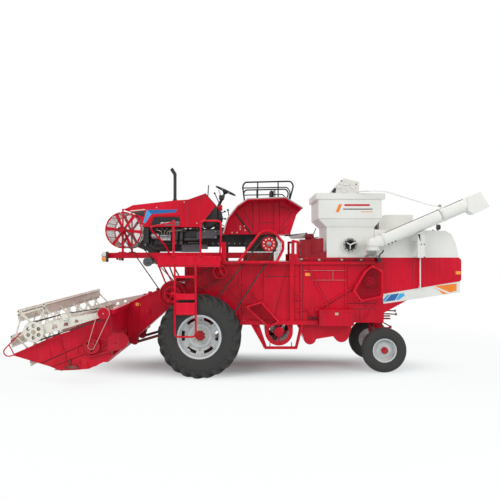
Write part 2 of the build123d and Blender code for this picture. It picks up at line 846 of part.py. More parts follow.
def rear_gusset():
    outline = [(2200.3, 1400), (2320, 1430), (2767, 1300), (2327, 1060), (2316, 878), (2200.3, 878)]
    plate = prism_xz(outline, -SIDE_Y + SHEET + 8, -SIDE_Y + SHEET + 16)
    floor = box(2200.3, 2316, -SIDE_Y + 20, SIDE_Y - 20, 884, 900)
    beam = box(2270, 2316, -SIDE_Y + 20, SIDE_Y - 20, 884, 950)
    return join([plate, flip(plate), floor, beam])


def rear_box():
    outline = [(2288, 2563), (2288, 2760), (2413, 2854), (2920, 2854), (2920, 2558.7)]
    return prism_xz(outline, -350, 350)


def drawbar():
    body = join([
        box(2316, 2570, -60, 60, 928, 948),
        box(2316, 2570, -60, 60, 878, 898),
        box(2316, 2420, -60, 60, 880, 946),
    ])
    return body - rod((2538, 0, 840), (2538, 0, 960), 16)


def elbow_base():
    pieces = [
        rod((SWING_X, SWING_Y, 2191), (SWING_X, SWING_Y, 2262), 127),
        box(SWING_X - 90, 2149, -760, -600, 2100, 2262),
        prism_yz([(-850, 2191), (-760, 2100), (-700, 2100), (-700, 2262), (-850, 2262)], SWING_X - 90, 2149),
    ]
    return join(pieces) - rod((SWING_X, SWING_Y, 2205), (SWING_X, SWING_Y, 2270), 110 + RUN_GAP)


def unloader():
    z0 = TUBE_Z0
    x1 = 3800.0
    z1 = z0 + (x1 - SWING_X) * TUBE_RISE
    pieces = [
        rod((SWING_X, SWING_Y, 2230), (SWING_X, SWING_Y, z0 + 2), 127),
        Pos(SWING_X, SWING_Y, z0) * Sphere(130),
        rod((SWING_X, SWING_Y, z0), (x1, SWING_Y, z1), TUBE_R),
    ]
    for x, wide, r in ((2250, 24, 140), (3300, 30, 124)):
        z = z0 + (x - SWING_X) * TUBE_RISE
        pieces.append(rod((x, SWING_Y, z), (x + wide, SWING_Y, z + wide * TUBE_RISE), r))
    below = box(SWING_X - 300, SWING_X + 300, SWING_Y - 300, SWING_Y + 300, 2000, 2267)
    shape = join(pieces) - below
    return shape + rod((SWING_X, SWING_Y, 2240), (SWING_X, SWING_Y, 2280), 110)


def spout():
    outline = [(3700, 3119), (3938, 3221), (4096, 2961), (3823, 2825), (3720, 2895)]
    inner = [(3690, 3105), (3930, 3207), (4090, 2955), (4000, 2800), (3700, 2700), (3700, 2905)]
    block = prism_xz(outline, SWING_Y - TUBE_R - 6, SWING_Y + TUBE_R + 6)
    hollow = prism_xz([(3812, 2990), (3925, 3170), (4070, 2945), (4060, 2820), (3830, 2700)], SWING_Y - TUBE_R, SWING_Y + TUBE_R)
    return block - hollow


def stay_arm():
    return pipe_run([(1835, -600, 3225), (1835, -700, 3256), (SWING_X - 20, SWING_Y, 3250)], 12)


def stay_rod():
    y = SWING_Y
    pieces = [
        pipe_run([(SWING_X, y, 3250), (2277, y, 3244), (3137, y, 2983), (3295, y, 2972)], 9),
        ring_across(3280, 2972, 14, 9, y - 12, y + 12),
        strut((3280, y, 2972), (3310, y, 2900), 16),
    ]
    return join(pieces)


def seat_z(x):
    # Height of the saddle under the stored tube.
    return TUBE_Z0 + (x - SWING_X) * TUBE_RISE - 128 - 16


def saddle():
    y0 = -860
    pieces = [
        box(2866, 2990, y0, -800, 2064, 2500),
        box(2866, 2990, -800, -SIDE_Y, 2300, 2360),
        box(2866, 2990, -800, -SIDE_Y, 2064, 2100),
        bar_xz((2850, seat_z(2850)), (3000, seat_z(3000)), -950, -760, 12),
        pipe_run([(2955, -700, 2070), (2955, -700, 1524), (2955, -620, 1524)], 12),
    ]
    return join(pieces)


# Feeder and header

def feeder_house():
    top = [(-2345, 1228), (-2107, 1329), (-1759, 1476), (-1560, 1560), (-1380, 1600), (-1230, 1560)]
    bottom = [(-1240, 1230), (-1450, 1150), (-1650, 1092), (-1946, 831), (-2184, 621), (-2345, 500)]
    outline = top + bottom
    plate = prism_xz(outline, -FEEDER_Y, -FEEDER_Y + 6)
    pieces = [
        plate,
        flip(plate),
        strip(top, 6, -FEEDER_Y, FEEDER_Y),
        strip(bottom, 6, -FEEDER_Y, FEEDER_Y),
        across(PIVOT_X, PIVOT_Z, PIVOT_SHAFT_R, -726, 715),
        across(PIVOT_X, PIVOT_Z, 70, -540, -499),
        across(PIVOT_X, PIVOT_Z, 70, 499, 540),
    ]
    trim_bars = [
        (-2330, 1222, -2120, 1311, 24), (-2100, 1330, -1765, 1464, 24), (-2330, 514, -1960, 832, 24),
        (-1945, 850, -1660, 1100, 24), (-2120, 1316, -2190, 640, 20),
    ]
    for s in (-1, 1):
        for x0, z0, x1, z1, wide in trim_bars:
            pieces.append(bar_xz((x0, z0), (x1, z1), s * FEEDER_Y, s * (FEEDER_Y + 14), wide))
        pieces.append(across(-1979, 1091, 46, s * FEEDER_Y, s * (FEEDER_Y + 26)))
        pieces.append(box(-1975, -1915, s * FEEDER_Y, s * (FEEDER_Y - 60), 1385, 1440))
    for y in (-RAM_Y, RAM_Y):
        for edge in (-46, 34):
            pieces.append(prism_xz(
                [(-2345, 640), (-2150, 655), (RAM_B_X + 40, RAM_B_Z - 20), (RAM_B_X - 20, RAM_B_Z - 40), (-2345, 500)],
                y + edge, y + edge + 12))
        pieces.append(across(RAM_B_X, RAM_B_Z, RAM_PIN_R, y - 46, y + 46))
    return join(pieces)


def feeder_pulley():
    return spoked_wheel(PIVOT_X, PIVOT_Z, 127, 22, 45, PIVOT_SHAFT_R, -720, -684, 5, 26)


def screen_drive_pulley():
    # Wheel on the feeder's cross shaft for the belt of the rotary screen.
    y = SCREEN_BELT_Y
    return spoked_wheel(PIVOT_X, PIVOT_Z, FEEDER_PULLEY_R, 22, 50, PIVOT_SHAFT_R, y - 12, y + 12, 5, 30)


def header_pan():
    # Trough sheet with its rail, back wall sheets beside the mouth, top beam and arm pivots.
    y = HEADER_Y - 8.3
    half = FEEDER_Y - 8
    floor = strip([(-3150, 276), (-2760, 300), (-2600, 330), (-2478, 398), (-2416, 519)], 6, -y, y)
    rail = box(-2462, -2392, -y, y, 395, 440)
    lower = strip([(-2415.8, 519.3), (-2395, 560), (-2348, 799)], 6, half, y)
    upper = box(-2351, -2345, half, y, 800, 1169.7)
    beam = box(-2358, -2288, -y, y, 1170, 1240)
    pivot = arm_pivot()
    return Compound([join([floor, rail]), lower, flip(lower), upper, flip(upper), beam, pivot, flip(pivot)])


def end_plate():
    outline = [
        (-3914, 503), (-2554, 1098), (-2337, 1098), (-2337, 480), (-2478, 391),
        (-2698, 289), (-2908, 270), (-3125, 262), (-3213, 278), (-3326, 326),
    ]
    y0 = -HEADER_Y
    pieces = [
        prism_xz(outline, y0, y0 + 8),
        bar_xz((-3900, 512), (-2554, 1100), y0 - 12, y0 + 24, 40),
        bar_xz((-2554, 1100), (-2337, 1100), y0 - 12, y0 + 24, 40),
        bar_xz((-2337, 1110), (-2337, 480), y0 - 6, y0 + 24, 24),
        across(AUGER_X, AUGER_Z, 60, y0 - 16, y0 + 4),
        box(-3080, -3010, y0 - 24, y0 + 1, 300, 352),
        box(-2890, -2830, y0 - 24, y0 + 1, 318, 420),
        box(-2740, -2716, y0 - 26, y0 + 1, 300, 380),
    ]
    ribs = [
        (-3486, 391, -2762, 713, 20, 22),
        (-3293, 343, -2337, 726, 24, 26),
        (-3156, 744, -3022, 300, 16, 22),
        (-3341, 664, -3309, 500, 16, 20),
        (-2891, 646, -2875, 503, 16, 20),
        (-2762, 713, -2640, 770, 18, 20),
    ]
    for x0, z0, x1, z1, deep, wide in ribs:
        pieces.append(bar_xz((x0, z0), (x1, z1), y0 - deep, y0 + 1, wide))
    return join(pieces) - across(AUGER_X, AUGER_Z, 25 + RUN_GAP, y0 - 30, y0 + 30)


def divider_loop():
    y = -HEADER_Y + 4
    pts = [(-3792, 873), (-3987, 677), (-4050, 612), (-4072, 577), (-4066, 530), (-4029, 496), (-3980, 490), (-3905, 512)]
    pieces = [pipe_run([(x, y, z) for x, z in pts], 10)]
    pieces.append(rod((-3987, y, 677), (-3905, y, 520), 9))
    return join(pieces)


def cutter_bar():
    y_end = HEADER_Y - 8.3
    pitch = 76.2
    count = int(2 * y_end / pitch)
    start = -pitch * count / 2
    points = [(-3120, -y_end), (-3120, y_end), (-3170, y_end)]
    for i in range(count):
        y = -start - pitch * i - pitch / 2
        points += [(-3170, y + 14), (-3270, y + 3), (-3270, y - 3), (-3170, y - 14)]
    points.append((-3170, -y_end))
    return prism_xy(points, 256, 273)


def header_auger():
    # Cross auger: two screw blades of opposite hand that meet at the fingers before the feeder's mouth.
    y = HEADER_Y - 20
    inner = FEEDER_Y - 120
    tube = [
        across(AUGER_X, AUGER_Z, AUGER_TUBE_R, -y, y),
        across(AUGER_X, AUGER_Z, 25, -HEADER_Y - 10, HEADER_Y + 10),
    ]
    for i in range(FINGER_COUNT):
        ang = math.radians(360 / 6 * i + (30 if i >= 6 else 0))
        yc = -inner + 60 + 2 * (inner - 60) / (FINGER_COUNT - 1) * i
        tip = (AUGER_X + (AUGER_R - 4) * math.cos(ang), yc, AUGER_Z + (AUGER_R - 4) * math.sin(ang))
        foot = (AUGER_X + 140 * math.cos(ang), yc, AUGER_Z + 140 * math.sin(ang))
        tube.append(rod(foot, tip, 8))
    blades = []
    for s in (-1, 1):
        blades.append(flight(s * (y - 12), s * inner, s))
    return join(tube + blades)


def flight(y0, y1, hand):
    # Screw blade of flat facets, 6 mm thick, rooted 6 mm inside the tube.
    turns = abs(y1 - y0) / FLIGHT_PITCH
    steps = round(turns * 16)
    rings = []
    for i in range(steps + 1):
        ang = hand * 2 * math.pi * turns * i / steps
        yc = y0 + (y1 - y0) * i / steps
        ring = []
        for r, dy in ((AUGER_TUBE_R - 6, -3), (AUGER_R, -3), (AUGER_R, 3), (AUGER_TUBE_R - 6, 3)):
            ring.append((AUGER_X + r * math.cos(ang), yc + dy, AUGER_Z + r * math.sin(ang)))
        rings.append(ring)
    quads = [tuple(rings[0]), tuple(rings[-1])]
    for one, two in zip(rings[:-1], rings[1:]):
        for k in range(4):
            m = (k + 1) % 4
            quads.append((one[k], one[m], two[m], two[k]))
    return faceted(quads)


def lower_wheel():
    # Auger drive wheels on a stub shaft in the left end plate.
    y = -HEADER_Y
    return join([
        holed_wheel(-2632, 672, 127, 3, 78, 20, y - 95, y - 60),
        across(-2632, 672, 48, y - 126, y - 94),
        across(-2632, 672, 26, y - 130, y + 1),
    ])


def upper_wheel():
    # Reel drive wheels in line with the reel arm's pin.
    y = -HEADER_Y
    return join([
        across(ARM_PIVOT_X, ARM_PIVOT_Z, ARM_PULLEY_R, y - 97, y - 73),
        across(ARM_PIVOT_X, ARM_PIVOT_Z, 92, y - 126, y - 102),
        across(ARM_PIVOT_X, ARM_PIVOT_Z, 34, y - 130, y - 60),
        across(ARM_PIVOT_X, ARM_PIVOT_Z, 20, y - 61, y - 50.3),
    ])


def header_belt():
    y = -HEADER_Y
    upper = (ARM_PIVOT_X, ARM_PIVOT_Z)
    return belt_loop(upper, 92 + BELT_SEAT, (-2632, 672), 48 + BELT_SEAT, 9, y - 120, y - 108)


def header_guard():
    # Rounded cover over the drive's rear end, its round-bar hoop and the tie rod below.
    y = -HEADER_Y
    outline = [
        (-2362, 824), (-2250, 870), (-2137, 885), (-2060, 830), (-2038, 756), (-2060, 680), (-2120, 630),
        (-2283, 593), (-2370, 610),
    ]
    hoop = [(-2330, 752), (-2385, 765), (-2560, 812), (-2632, 812), (-2700, 795), (-2752, 748)]
    hoop += [(-2772, 680), (-2760, 610), (-2720, 560), (-2665, 520)]
    return join([
        prism_xz(outline, y - 130, y - 70) - across(-2240, 722, 12, y - 131, y - 110),
        box(-2340, -2290, y - 72, y + 4, 690, 770),
        pipe_run([(x, y - 80, z) for x, z in hoop] + [(-2665, y - 40, 505)], 6),
        rod((-2666, y - 40, 504), (-2332, y - 40, 581), 14),
        box(-2680, -2650, y - 56, y + 1, 486, 524),
        box(-2349, -2320, y - 56, y + 1, 562, 600),
    ])


def reel_arm():
    y0 = -HEADER_Y - 40
    y1 = -HEADER_Y - 14
    outline = [
        (ARM_PIVOT_X + 40, ARM_PIVOT_Z - 40), (ARM_PIVOT_X + 40, ARM_PIVOT_Z + 40),
        (REEL_X + 300, REEL_Z + 170), (REEL_X - 60, REEL_Z + 60), (REEL_X - 60, REEL_Z - 60), (REEL_X + 300, REEL_Z - 10),
    ]
    shape = prism_xz(outline, y0, y1)
    for x, z, wide, high in ((-3240, 975, 90, 90), (-3060, 1010, 80, 70), (-2890, 1060, 70, 60)):
        window = [(x - wide / 2, z - high / 2), (x - wide / 4, z + high / 2), (x + wide / 2, z + high / 3), (x + wide / 2, z - high / 3)]
        shape = shape - prism_xz(window, y0 - 1, y1 + 1)
    shape = shape - across(ARM_PIVOT_X, ARM_PIVOT_Z, 20 + RUN_GAP, y0 - 1, y1 + 1)
    return shape - across(REEL_X, REEL_Z, 30 + RUN_GAP, y0 - 1, y1 + 1)


def arm_idler():
    # Idler wheel under the upper run of the reel belt, on a bracket at the top of the arm.
    y = -HEADER_Y
    return join([
        prism_xz([(IDLER_X - 40, 1060), (IDLER_X - 24, IDLER_Z + 24), (IDLER_X + 24, IDLER_Z + 24), (IDLER_X + 50, 1080)], y - 40, y - 28),
        across(IDLER_X, IDLER_Z, 12, y - 106, y - 28),
        across(IDLER_X, IDLER_Z, IDLER_R, y - 98, y - 72),
    ])


def reel_belt():
    # Belt from the arm pivot over the idler to the reel pulley.
    y = -HEADER_Y
    wheels = [
        (REEL_X, REEL_Z, REEL_PULLEY_R),
        (IDLER_X, IDLER_Z, IDLER_R),
        (ARM_PIVOT_X, ARM_PIVOT_Z, ARM_PULLEY_R),
    ]
    outer = belt_hull(wheels, BELT_SEAT + 10, y - 94, y - 76)
    return outer - belt_hull(wheels, BELT_SEAT, y - 95, y - 75)


def arm_pivot():
    # Plate against the end of the top beam, with the pin that carries a reel arm.
    y = HEADER_Y
    return join([
        across(ARM_PIVOT_X, ARM_PIVOT_Z, 20, y - 20, y + 50),
        prism_xz(
            [(ARM_PIVOT_X - 40, ARM_PIVOT_Z - 80), (ARM_PIVOT_X - 40, ARM_PIVOT_Z + 40), (-2358.3, 1240), (-2358.3, 1120)],
            y - 20, y - 9),
    ])


def reel_frame():
    # Reel shaft with its star frames: six arms each, braced by a hexagon of flat bar.
    star = [across(0, 0, 80, -6, 6)]
    corners = []
    for i in range(REEL_BATS):
        ang = math.radians(REEL_PHASE + 360 / REEL_BATS * i)
        corners.append((math.cos(ang), math.sin(ang)))
        star.append(bar_xz((0, 0), (REEL_R * corners[i][0], REEL_R * corners[i][1]), -5, 5, 36))
    for i in range(REEL_BATS):
        one = corners[i]
        two = corners[(i + 1) % REEL_BATS]
        brace = REEL_R - 70
        star.append(bar_xz((brace * one[0], brace * one[1]), (brace * two[0], brace * two[1]), -4, 4, 24))
    star = join(star)
    pieces = [across(REEL_X, REEL_Z, 30, -HEADER_Y - 105, HEADER_Y + 45)]
    reach = REEL_Y - 60
    for i in range(REEL_STARS):
        pieces.append(Pos(REEL_X, -reach + 2 * reach / (REEL_STARS - 1) * i, REEL_Z) * star)
    return join(pieces)


def reel_bats():
    # Tined bats: a tube, a slat and spring tines, which hang the same way all round the reel.
    bat = [
        across(0, 0, 20, -REEL_Y, REEL_Y),
        prism_xz([(-5, -112), (5, -112), (5, 34), (-5, 34)], -REEL_Y, REEL_Y),
    ]
    count = int(2 * (REEL_Y - 20) / TINE_PITCH)
    for i in range(count + 1):
        y = -TINE_PITCH * count / 2 + TINE_PITCH * i
        bat.append(box(-3.5, 3.5, y - 3.5, y + 3.5, -TINE_REACH, -100))
    bat = join(bat)
    pieces = []
    for i in range(REEL_BATS):
        ang = math.radians(REEL_PHASE + 360 / REEL_BATS * i)
        pieces.append(Pos(REEL_X + (REEL_R - 20) * math.cos(ang), 0, REEL_Z + (REEL_R - 20) * math.sin(ang)) * bat)
    return Compound(pieces)


def reel_pulley():
    y = -HEADER_Y
    r = REEL_PULLEY_R
    return join([
        holed_wheel(REEL_X, REEL_Z, r, 6, r * 0.6, 32, y - 100, y - 70),
        ring_across(REEL_X, REEL_Z, r + 6, r - 14, y - 104, y - 98),
        ring_across(REEL_X, REEL_Z, r + 6, r - 14, y - 72, y - 66),
        holed_wheel(REEL_X, REEL_Z, r * 0.92, 6, r * 0.55, 26, y - 58, y - 50),
    ])


# Lift cylinders

def ram_direction():
    dx = RAM_B_X - RAM_A_X
    dz = RAM_B_Z - RAM_A_Z
    n = math.hypot(dx, dz)
    return dx / n, dz / n, n


def ram_barrel():
    ux, uz, n = ram_direction()
    y = RAM_Y
    a = (RAM_A_X, y, RAM_A_Z)
    end = (RAM_A_X + ux * 640, y, RAM_A_Z + uz * 640)
    start = (RAM_A_X + ux * 80, y, RAM_A_Z + uz * 80)
    neck = bar_xz((RAM_A_X, RAM_A_Z), (RAM_A_X + ux * 100, RAM_A_Z + uz * 100), y - 20, y + 20, 60)
    shape = join([rod(start, end, 50), neck, across(a[0], a[2], 40, y - 24, y + 24)])
    shape = shape - across(a[0], a[2], 22 + RUN_GAP, y - 30, y + 30)
    hollow_start = (RAM_A_X + ux * 98, y, RAM_A_Z + uz * 98)
    hollow_end = (RAM_A_X + ux * 660, y, RAM_A_Z + uz * 660)
    return shape - rod(hollow_start, hollow_end, 25 + RUN_GAP)


def ram_rod():
    ux, uz, n = ram_direction()
    y = RAM_Y
    start = (RAM_A_X + ux * 200, y, RAM_A_Z + uz * 200)
    end = (RAM_A_X + ux * (n - 30), y, RAM_A_Z + uz * (n - 30))
    shape = join([rod(start, end, 25), across(RAM_B_X, RAM_B_Z, 42, y - 24, y + 24)])
    return shape - across(RAM_B_X, RAM_B_Z, RAM_PIN_R + RAM_EYE_PLAY, y - 30, y + 30)


# Tractor on top

def tractor_hood():
    reach = SCREEN_R + SCREEN_GAP
    nose = []
    for turn in range(10, 90, 10):
        ang = math.radians(turn)
        nose.append((SCREEN_X + reach * math.cos(ang), SCREEN_Z + reach * math.sin(ang)))
    outline = nose + [
        (SCREEN_X + 13, SCREEN_Z + reach + 8), (SCREEN_X + 20, SCREEN_Z + reach + 33),
        (-2289, 3036), (-1529, 3122), (-1263, 3140), (-941, 3254),
        (-742, 3028), (-1003, 2684), (-1021, 2626),
    ]
    shape = prism_xz(outline, -330, 330)
    vent = [(-1968, 2650), (-1908, 2800), (-1885, 2818), (-1440, 2822), (-1418, 2800), (-1418, 2650)]
    for s in (-1, 1):
        shape = shape - prism_xz(vent, s * 318, s * 340)
        shape = shape - bar_xz((-1110, 3110), (-984, 3196), s * 322, s * 340, 16)
    return shape


def engine_block():
    pieces = [
        box(-1984, -1000, -180, 180, 2230, 2626),
        box(-1900, -1050, -250, 250, 2300, 2560),
        box(-1384, -1046, -330, -180, 2172, 2303),
        box(-1840, -1180, -140, 140, 2166, 2240),
        rod((-1060, 0, 2420), (-1000, 0, 2420), 196),
    ]
    for x in (-1860, -1700, -1540, -1380, -1220):
        pieces.append(box(x - 8, x + 8, -262, 262, 2310, 2550))
    return join(pieces + engine_left() + engine_right())


def engine_left():
    # Injection pump with its lines, two filters, the starter and the water pipe.
    pieces = [
        box(-1800, -1580, -305, -245, 2390, 2490),
        rod((-1330, -292, 2390), (-1090, -292, 2390), 46),
        rod((-1130, -292, 2390), (-1060, -292, 2390), 30),
        pipe_run([(-1900, -240, 2480), (-1880, -300, 2560), (-1150, -300, 2595), (-1090, -270, 2540)], 15),
        box(-1560, -1300, -300, -245, 2545, 2600),
    ]
    for i in range(4):
        x = -1775 + 58 * i
        pieces.append(pipe_run([(x, -285, 2485), (x + 10, -285, 2540), (x + 50, -240, 2580)], 6))
    for x in (-1480, -1385):
        pieces.append(rod((x, -296, 2400), (x, -296, 2548), 38))
        pieces.append(rod((x, -296, 2385), (x, -296, 2402), 20))
    return pieces


def engine_right():
    # Exhaust manifold, alternator and oil filter on the far side.
    pieces = [
        rod((-1800, 292, 2520), (-1240, 292, 2520), 34),
        rod((-1900, 300, 2400), (-1780, 300, 2400), 56),
        rod((-1420, 245, 2360), (-1420, 330, 2360), 48),
        box(-1330, -1100, 245, 320, 2330, 2430),
    ]
    for i in range(4):
        x = -1760 + 160 * i
        pieces.append(box(x - 26, x + 26, 245, 300, 2495, 2545))
    return pieces


def transmission():
    pieces = [
        box(-1000.0, -200, -190, 190, 2260, 2600),
        box(-200, 380, -240, 240, 2172, 2560),
        rod((-1000, 0, 2420), (-930, 0, 2420), 182),
        box(-780, -320, -215, 215, 2300, 2520),
        box(-700, -340, -120, 120, 2599, 2630),
        box(252, 420, -150, 150, 2559, 2620),
        across(228, 2305, 90, -700, 700),
        across(228, 2305, 120, -420, 420),
        across(228, 2305, 131, -790, -740),
        across(228, 2305, 50, -745, -699),
    ]
    for x in (-900, -860, -640, -560, -480, -400):
        pieces.append(box(x - 8, x + 8, -222, 222, 2290, 2550))
    for s in (-1, 1):
        pieces.append(box(-960, -600, s * 214, s * 430, 2500, 2512))
        pieces.append(box(-960, -950, s * 214, s * 430, 2500, 2560))
    for x, y, lean, top in ((-470, -70, -60, 2960), (-400, 60, -20, 2900)):
        pieces.append(rod((x, y, 2610), (x + lean, y, top), 9))
        pieces.append(Pos(x + lean, y, top) * Sphere(22))
    return join(pieces)


def front_support():
    # Cast front axle support with its openings, over the axle's pivot.
    outline = [
        (-2091, 2440), (-1985, 2440), (-1800, 2300), (-1850, 2180), (-1905, 2060), (-2020, 2060), (-2033, 2172),
        (-2225, 2250), (-2225, 2275), (-2178, 2325), (-2112, 2435),
    ]
    casting = prism_xz(outline, -170, 170)
    for x, z, r in ((-2110, 2300, 32), (-1990, 2290, 42), (-1890, 2240, 30)):
        casting = casting - across(x, z, r, -171, 171)
    pieces = [
        casting,
        prism_xz([(-2091, 2626), (-2091, 2430), (-1984, 2430), (-1984, 2626)], -170, 170),
        box(-2020, -1900, -170, 170, 1990, 2100),
        across(-1962, 1985, 52, -620, 620),
        across(-1962, 1985, 83, -650, -590),
        across(-1962, 1985, 83, 590, 650),
        across(-1962, 1985, 30, -662, -640),
        box(-2010, -1914, -500, -440, 2000, 2050),
        box(-2010, -1914, 440, 500, 2000, 2050),
        rod((-2185, -185, 2285), (-2185, 185, 2285), 22),
    ]
    return join(pieces)


def radiator():
    pieces = [
        box(SCREEN_X + SCREEN_R + SCREEN_GAP - 4, -2000, -300, 300, 2330, 2626),
        box(-2030, -1980, -180, 180, 2300, 2626),
    ]
    return join(pieces)


def screen_mount():
    y = SCREEN_Y + 40
    pieces = []
    for s in (-1, 1):
        pieces.append(box(SCREEN_X - 19, SCREEN_X + 19, s * y, s * (y + 20), 2150, SCREEN_Z + 40))
        pieces.append(box(SCREEN_X - 60, SCREEN_X + 60, s * y, s * 500, 2150, 2166))
        pieces.append(box(SCREEN_X - 14, SCREEN_X + 14, s * y, s * (y + 14), SCREEN_Z, SCREEN_Z + 392))
        pieces.append(box(SCREEN_X - 14, SCREEN_X + 55, s * 330, s * (y + 14), SCREEN_Z + 376, SCREEN_Z + 392))
        pieces.append(across(SCREEN_X, SCREEN_Z, 40, s * (y - 2), s * (y + 30)))
    shape = join(pieces)
    return shape - across(SCREEN_X, SCREEN_Z, 20 + RUN_GAP, -y - 60, y + 60)


def drum_screen():
    # Rotary screen: two rims with tapered spokes, bars round the rim and the belt wheel on its shaft.
    y = SCREEN_Y
    pieces = [
        across(SCREEN_X, SCREEN_Z, 20, SCREEN_BELT_Y - 16, y + 75),
        across(SCREEN_X, SCREEN_Z, SCREEN_PULLEY_R, SCREEN_BELT_Y - 10, SCREEN_BELT_Y + 10),
    ]
    spoke = [(40, -20), (SCREEN_R - 12, -32), (SCREEN_R - 12, 32), (40, 20)]
    for s in (-1, 1):
        pieces.append(ring_across(SCREEN_X, SCREEN_Z, SCREEN_R, SCREEN_R - 24, s * (y - 24), s * y))
        pieces.append(across(SCREEN_X, SCREEN_Z, 64, s * (y - 24), s * (y + 10)))
        for i in range(SCREEN_SPOKES):
            ang = math.radians(54 + 360 / SCREEN_SPOKES * i)
            ca = math.cos(ang)
            sa = math.sin(ang)
            corners = [(SCREEN_X + a * ca - b * sa, SCREEN_Z + a * sa + b * ca) for a, b in spoke]
            pieces.append(prism_xz(corners, s * (y - 16), s * (y - 8)))
    for i in range(16):
        ang = math.radians(22.5 * i)
        cx = SCREEN_X + (SCREEN_R - 10) * math.cos(ang)
        cz = SCREEN_Z + (SCREEN_R - 10) * math.sin(ang)
        pieces.append(across(cx, cz, 6, -y + 10, y - 10))
    return join(pieces)


def exhaust():
    return join([
        pipe_run([(-1546, 0, 3090), (-1546, 0, 3657), (-1612, 0, 3760)], 30),
        rod((-1546, 0, 3100), (-1546, 0, 3170), 42),
    ])


def dash():
    return join([
        prism_xz([(-980, 3200), (-742, 3028), (-700, 2700), (-900, 2600), (-990, 2620)], -230, 230),
        rod((-740, 0, 2950), (-590, 0, 3320), 22),
    ])


def steering_wheel():
    cx, cz = -575, 3335
    lean = math.radians(-24)
    ring = Torus(200, 14)
    hub = Cylinder(50, 30)
    spokes = [Rot(0, 0, 120 * i) * Pos(100, 0, 0) * Box(200, 22, 10) for i in range(3)]
    wheel = join([ring, hub] + spokes)
    return Pos(cx, 0, cz) * Rot(0, -22, 0) * wheel


def seat():
    return join([
        box(-50, 330, -210, 210, 2900, 2990),
        prism_xz([(240, 2980), (330, 2980), (380, 3380), (320, 3390)], -200, 200),
    ])


def seat_post():
    return join([box(60, 240, -100, 100, 2560, 2900.0)])


def fender():
    outline = [
        (-583, 2486), (-508, 2748), (-333, 2972), (-146, 3096), (526, 3121), (825, 2935), (743, 2848), (626, 2486),
    ]
    top = [(-583, 2486), (-508, 2748), (-333, 2972), (-146, 3096), (526, 3121), (825, 2935)]
    pieces = [
        prism_xz(outline, -480, -472),
        strip(top, 6, -860, -472),
        box(-560, 640, -480, -240, 2486, 2500),
        box(-47, 51, -488, -479, 2500, 3098),
        box(335, 424, -488, -479, 2500, 3098),
        bar_xz((-358, 2860), (-90, 2511), -487, -479, 22),
        strip([(-583, 2486), (-508, 2748), (-333, 2972), (-146, 3096), (526, 3121), (825, 2935)], 30, -866, -856),
        box(-100, 300, -476, -240, 2500, 2560),
    ]
    return join(pieces)


def fender_rail():
    y = -700
    pts = [(-210, 3100), (-242, 3348), (-199, 3419), (624, 3437), (674, 3361), (598, 3080)]
    pieces = [
        pipe_run([(x, y, z) for x, z in pts], 14),
        rod((-235, y, 3318), (660, y, 3330), 12),
        rod((30, y, 3100), (30, y, 3430), 10),
        rod((397, y, 3110), (397, y, 3434), 10),
    ]
    return join(pieces)


def pto_guard():
    line = [(-323, 1985), (52, 2487), (140, 2545), (241, 2545), (340, 2500), (480, 2337), (480, 2212), (367, 1985)]
    y0 = -850
    pieces = [frame_ring(line, 44, y0, y0 + 40)]
    pieces.append(box(-300, -260, y0 + 20, -SIDE_Y - 50, 1965, 2000))
    pieces.append(box(320, 360, y0 + 20, -SIDE_Y - 50, 1965, 2000))
    return join(pieces)


def main_belt():
    return belt_loop((228, 2305), 131, (-640, 1080), 190, 14, -785, -745)


def feeder_belt():
    # From the side pulley down to the feeder's cross shaft.
    return belt_loop((-648, 1811), 121 + BELT_SEAT, (PIVOT_X, PIVOT_Z), 127 + BELT_SEAT, 8, -716, -702)


def screen_belt():
    # From the cross shaft up to the rotary screen.
    y = SCREEN_BELT_Y
    lower = FEEDER_PULLEY_R + BELT_SEAT
    return belt_loop((PIVOT_X, PIVOT_Z), lower, (SCREEN_X, SCREEN_Z), SCREEN_PULLEY_R + BELT_SEAT, 7, y - 6, y + 6)


def walker_belt():
    return belt_loop((2047, 1637), 100 + BELT_SEAT, (2079, 1843), 38 + BELT_SEAT, 8, -720, -706)


def lower_pulley():
    return join([
        across(-640, 1080, 190, -790, -740),
        across(-640, 1080, 40, -745, -SIDE_Y),
    ])


def side_pulley():
    return join([
        spoked_wheel(-648, 1811, 121, 21, 32, 20, -720, -684, 3, 26),
        across(-648, 1811, 20, -726, -SIDE_Y),
    ])


def walker_pulleys():
    pieces = []
    for x, z, r in ((2047, 1637, 100), (2079, 1843, 38)):
        pieces.append(join([
            across(x, z, r, -724, -702),
            across(x, z, 24, -730, -SIDE_Y),
        ]))
    return pieces


def chain_guard():
    line = [(2079, 1911), (2264, 1820), (2264, 1373), (1882, 1282), (1749, 1465), (1953, 1809)]
    y0 = -760
    pieces = [frame_ring(line, 30, y0, y0 + 30)]
    pieces.append(box(2070, 2100, y0 + 10, -SIDE_Y, 1898, 1926))
    pieces.append(box(1880, 1910, y0 + 10, -SIDE_Y, 1275, 1305))
    return join(pieces)


def mesh_guard():
    line = [(-179, 1178), (96, 1260), (414, 903), (220, 813)]
    y0 = -740
    pieces = [frame_ring(line, 30, y0, y0 + 30)]
    pieces.append(box(90, 120, y0 + 10, -SIDE_Y, 1235, 1265))
    pieces.append(box(215, 245, y0 + 10, -SIDE_Y - 50, 850, 880))
    return join(pieces)


def lamps():
    pieces = []
    for s in (-1, 1):
        pieces.append(join([
            box(-2786, -2772, s * 540, s * 620, 2000, 2150),
            rod((-2806, s * 580, 2112), (-2780, s * 580, 2112), 30),
            rod((-2802, s * 580, 2040), (-2780, s * 580, 2040), 28),
        ]))
    return join(pieces)


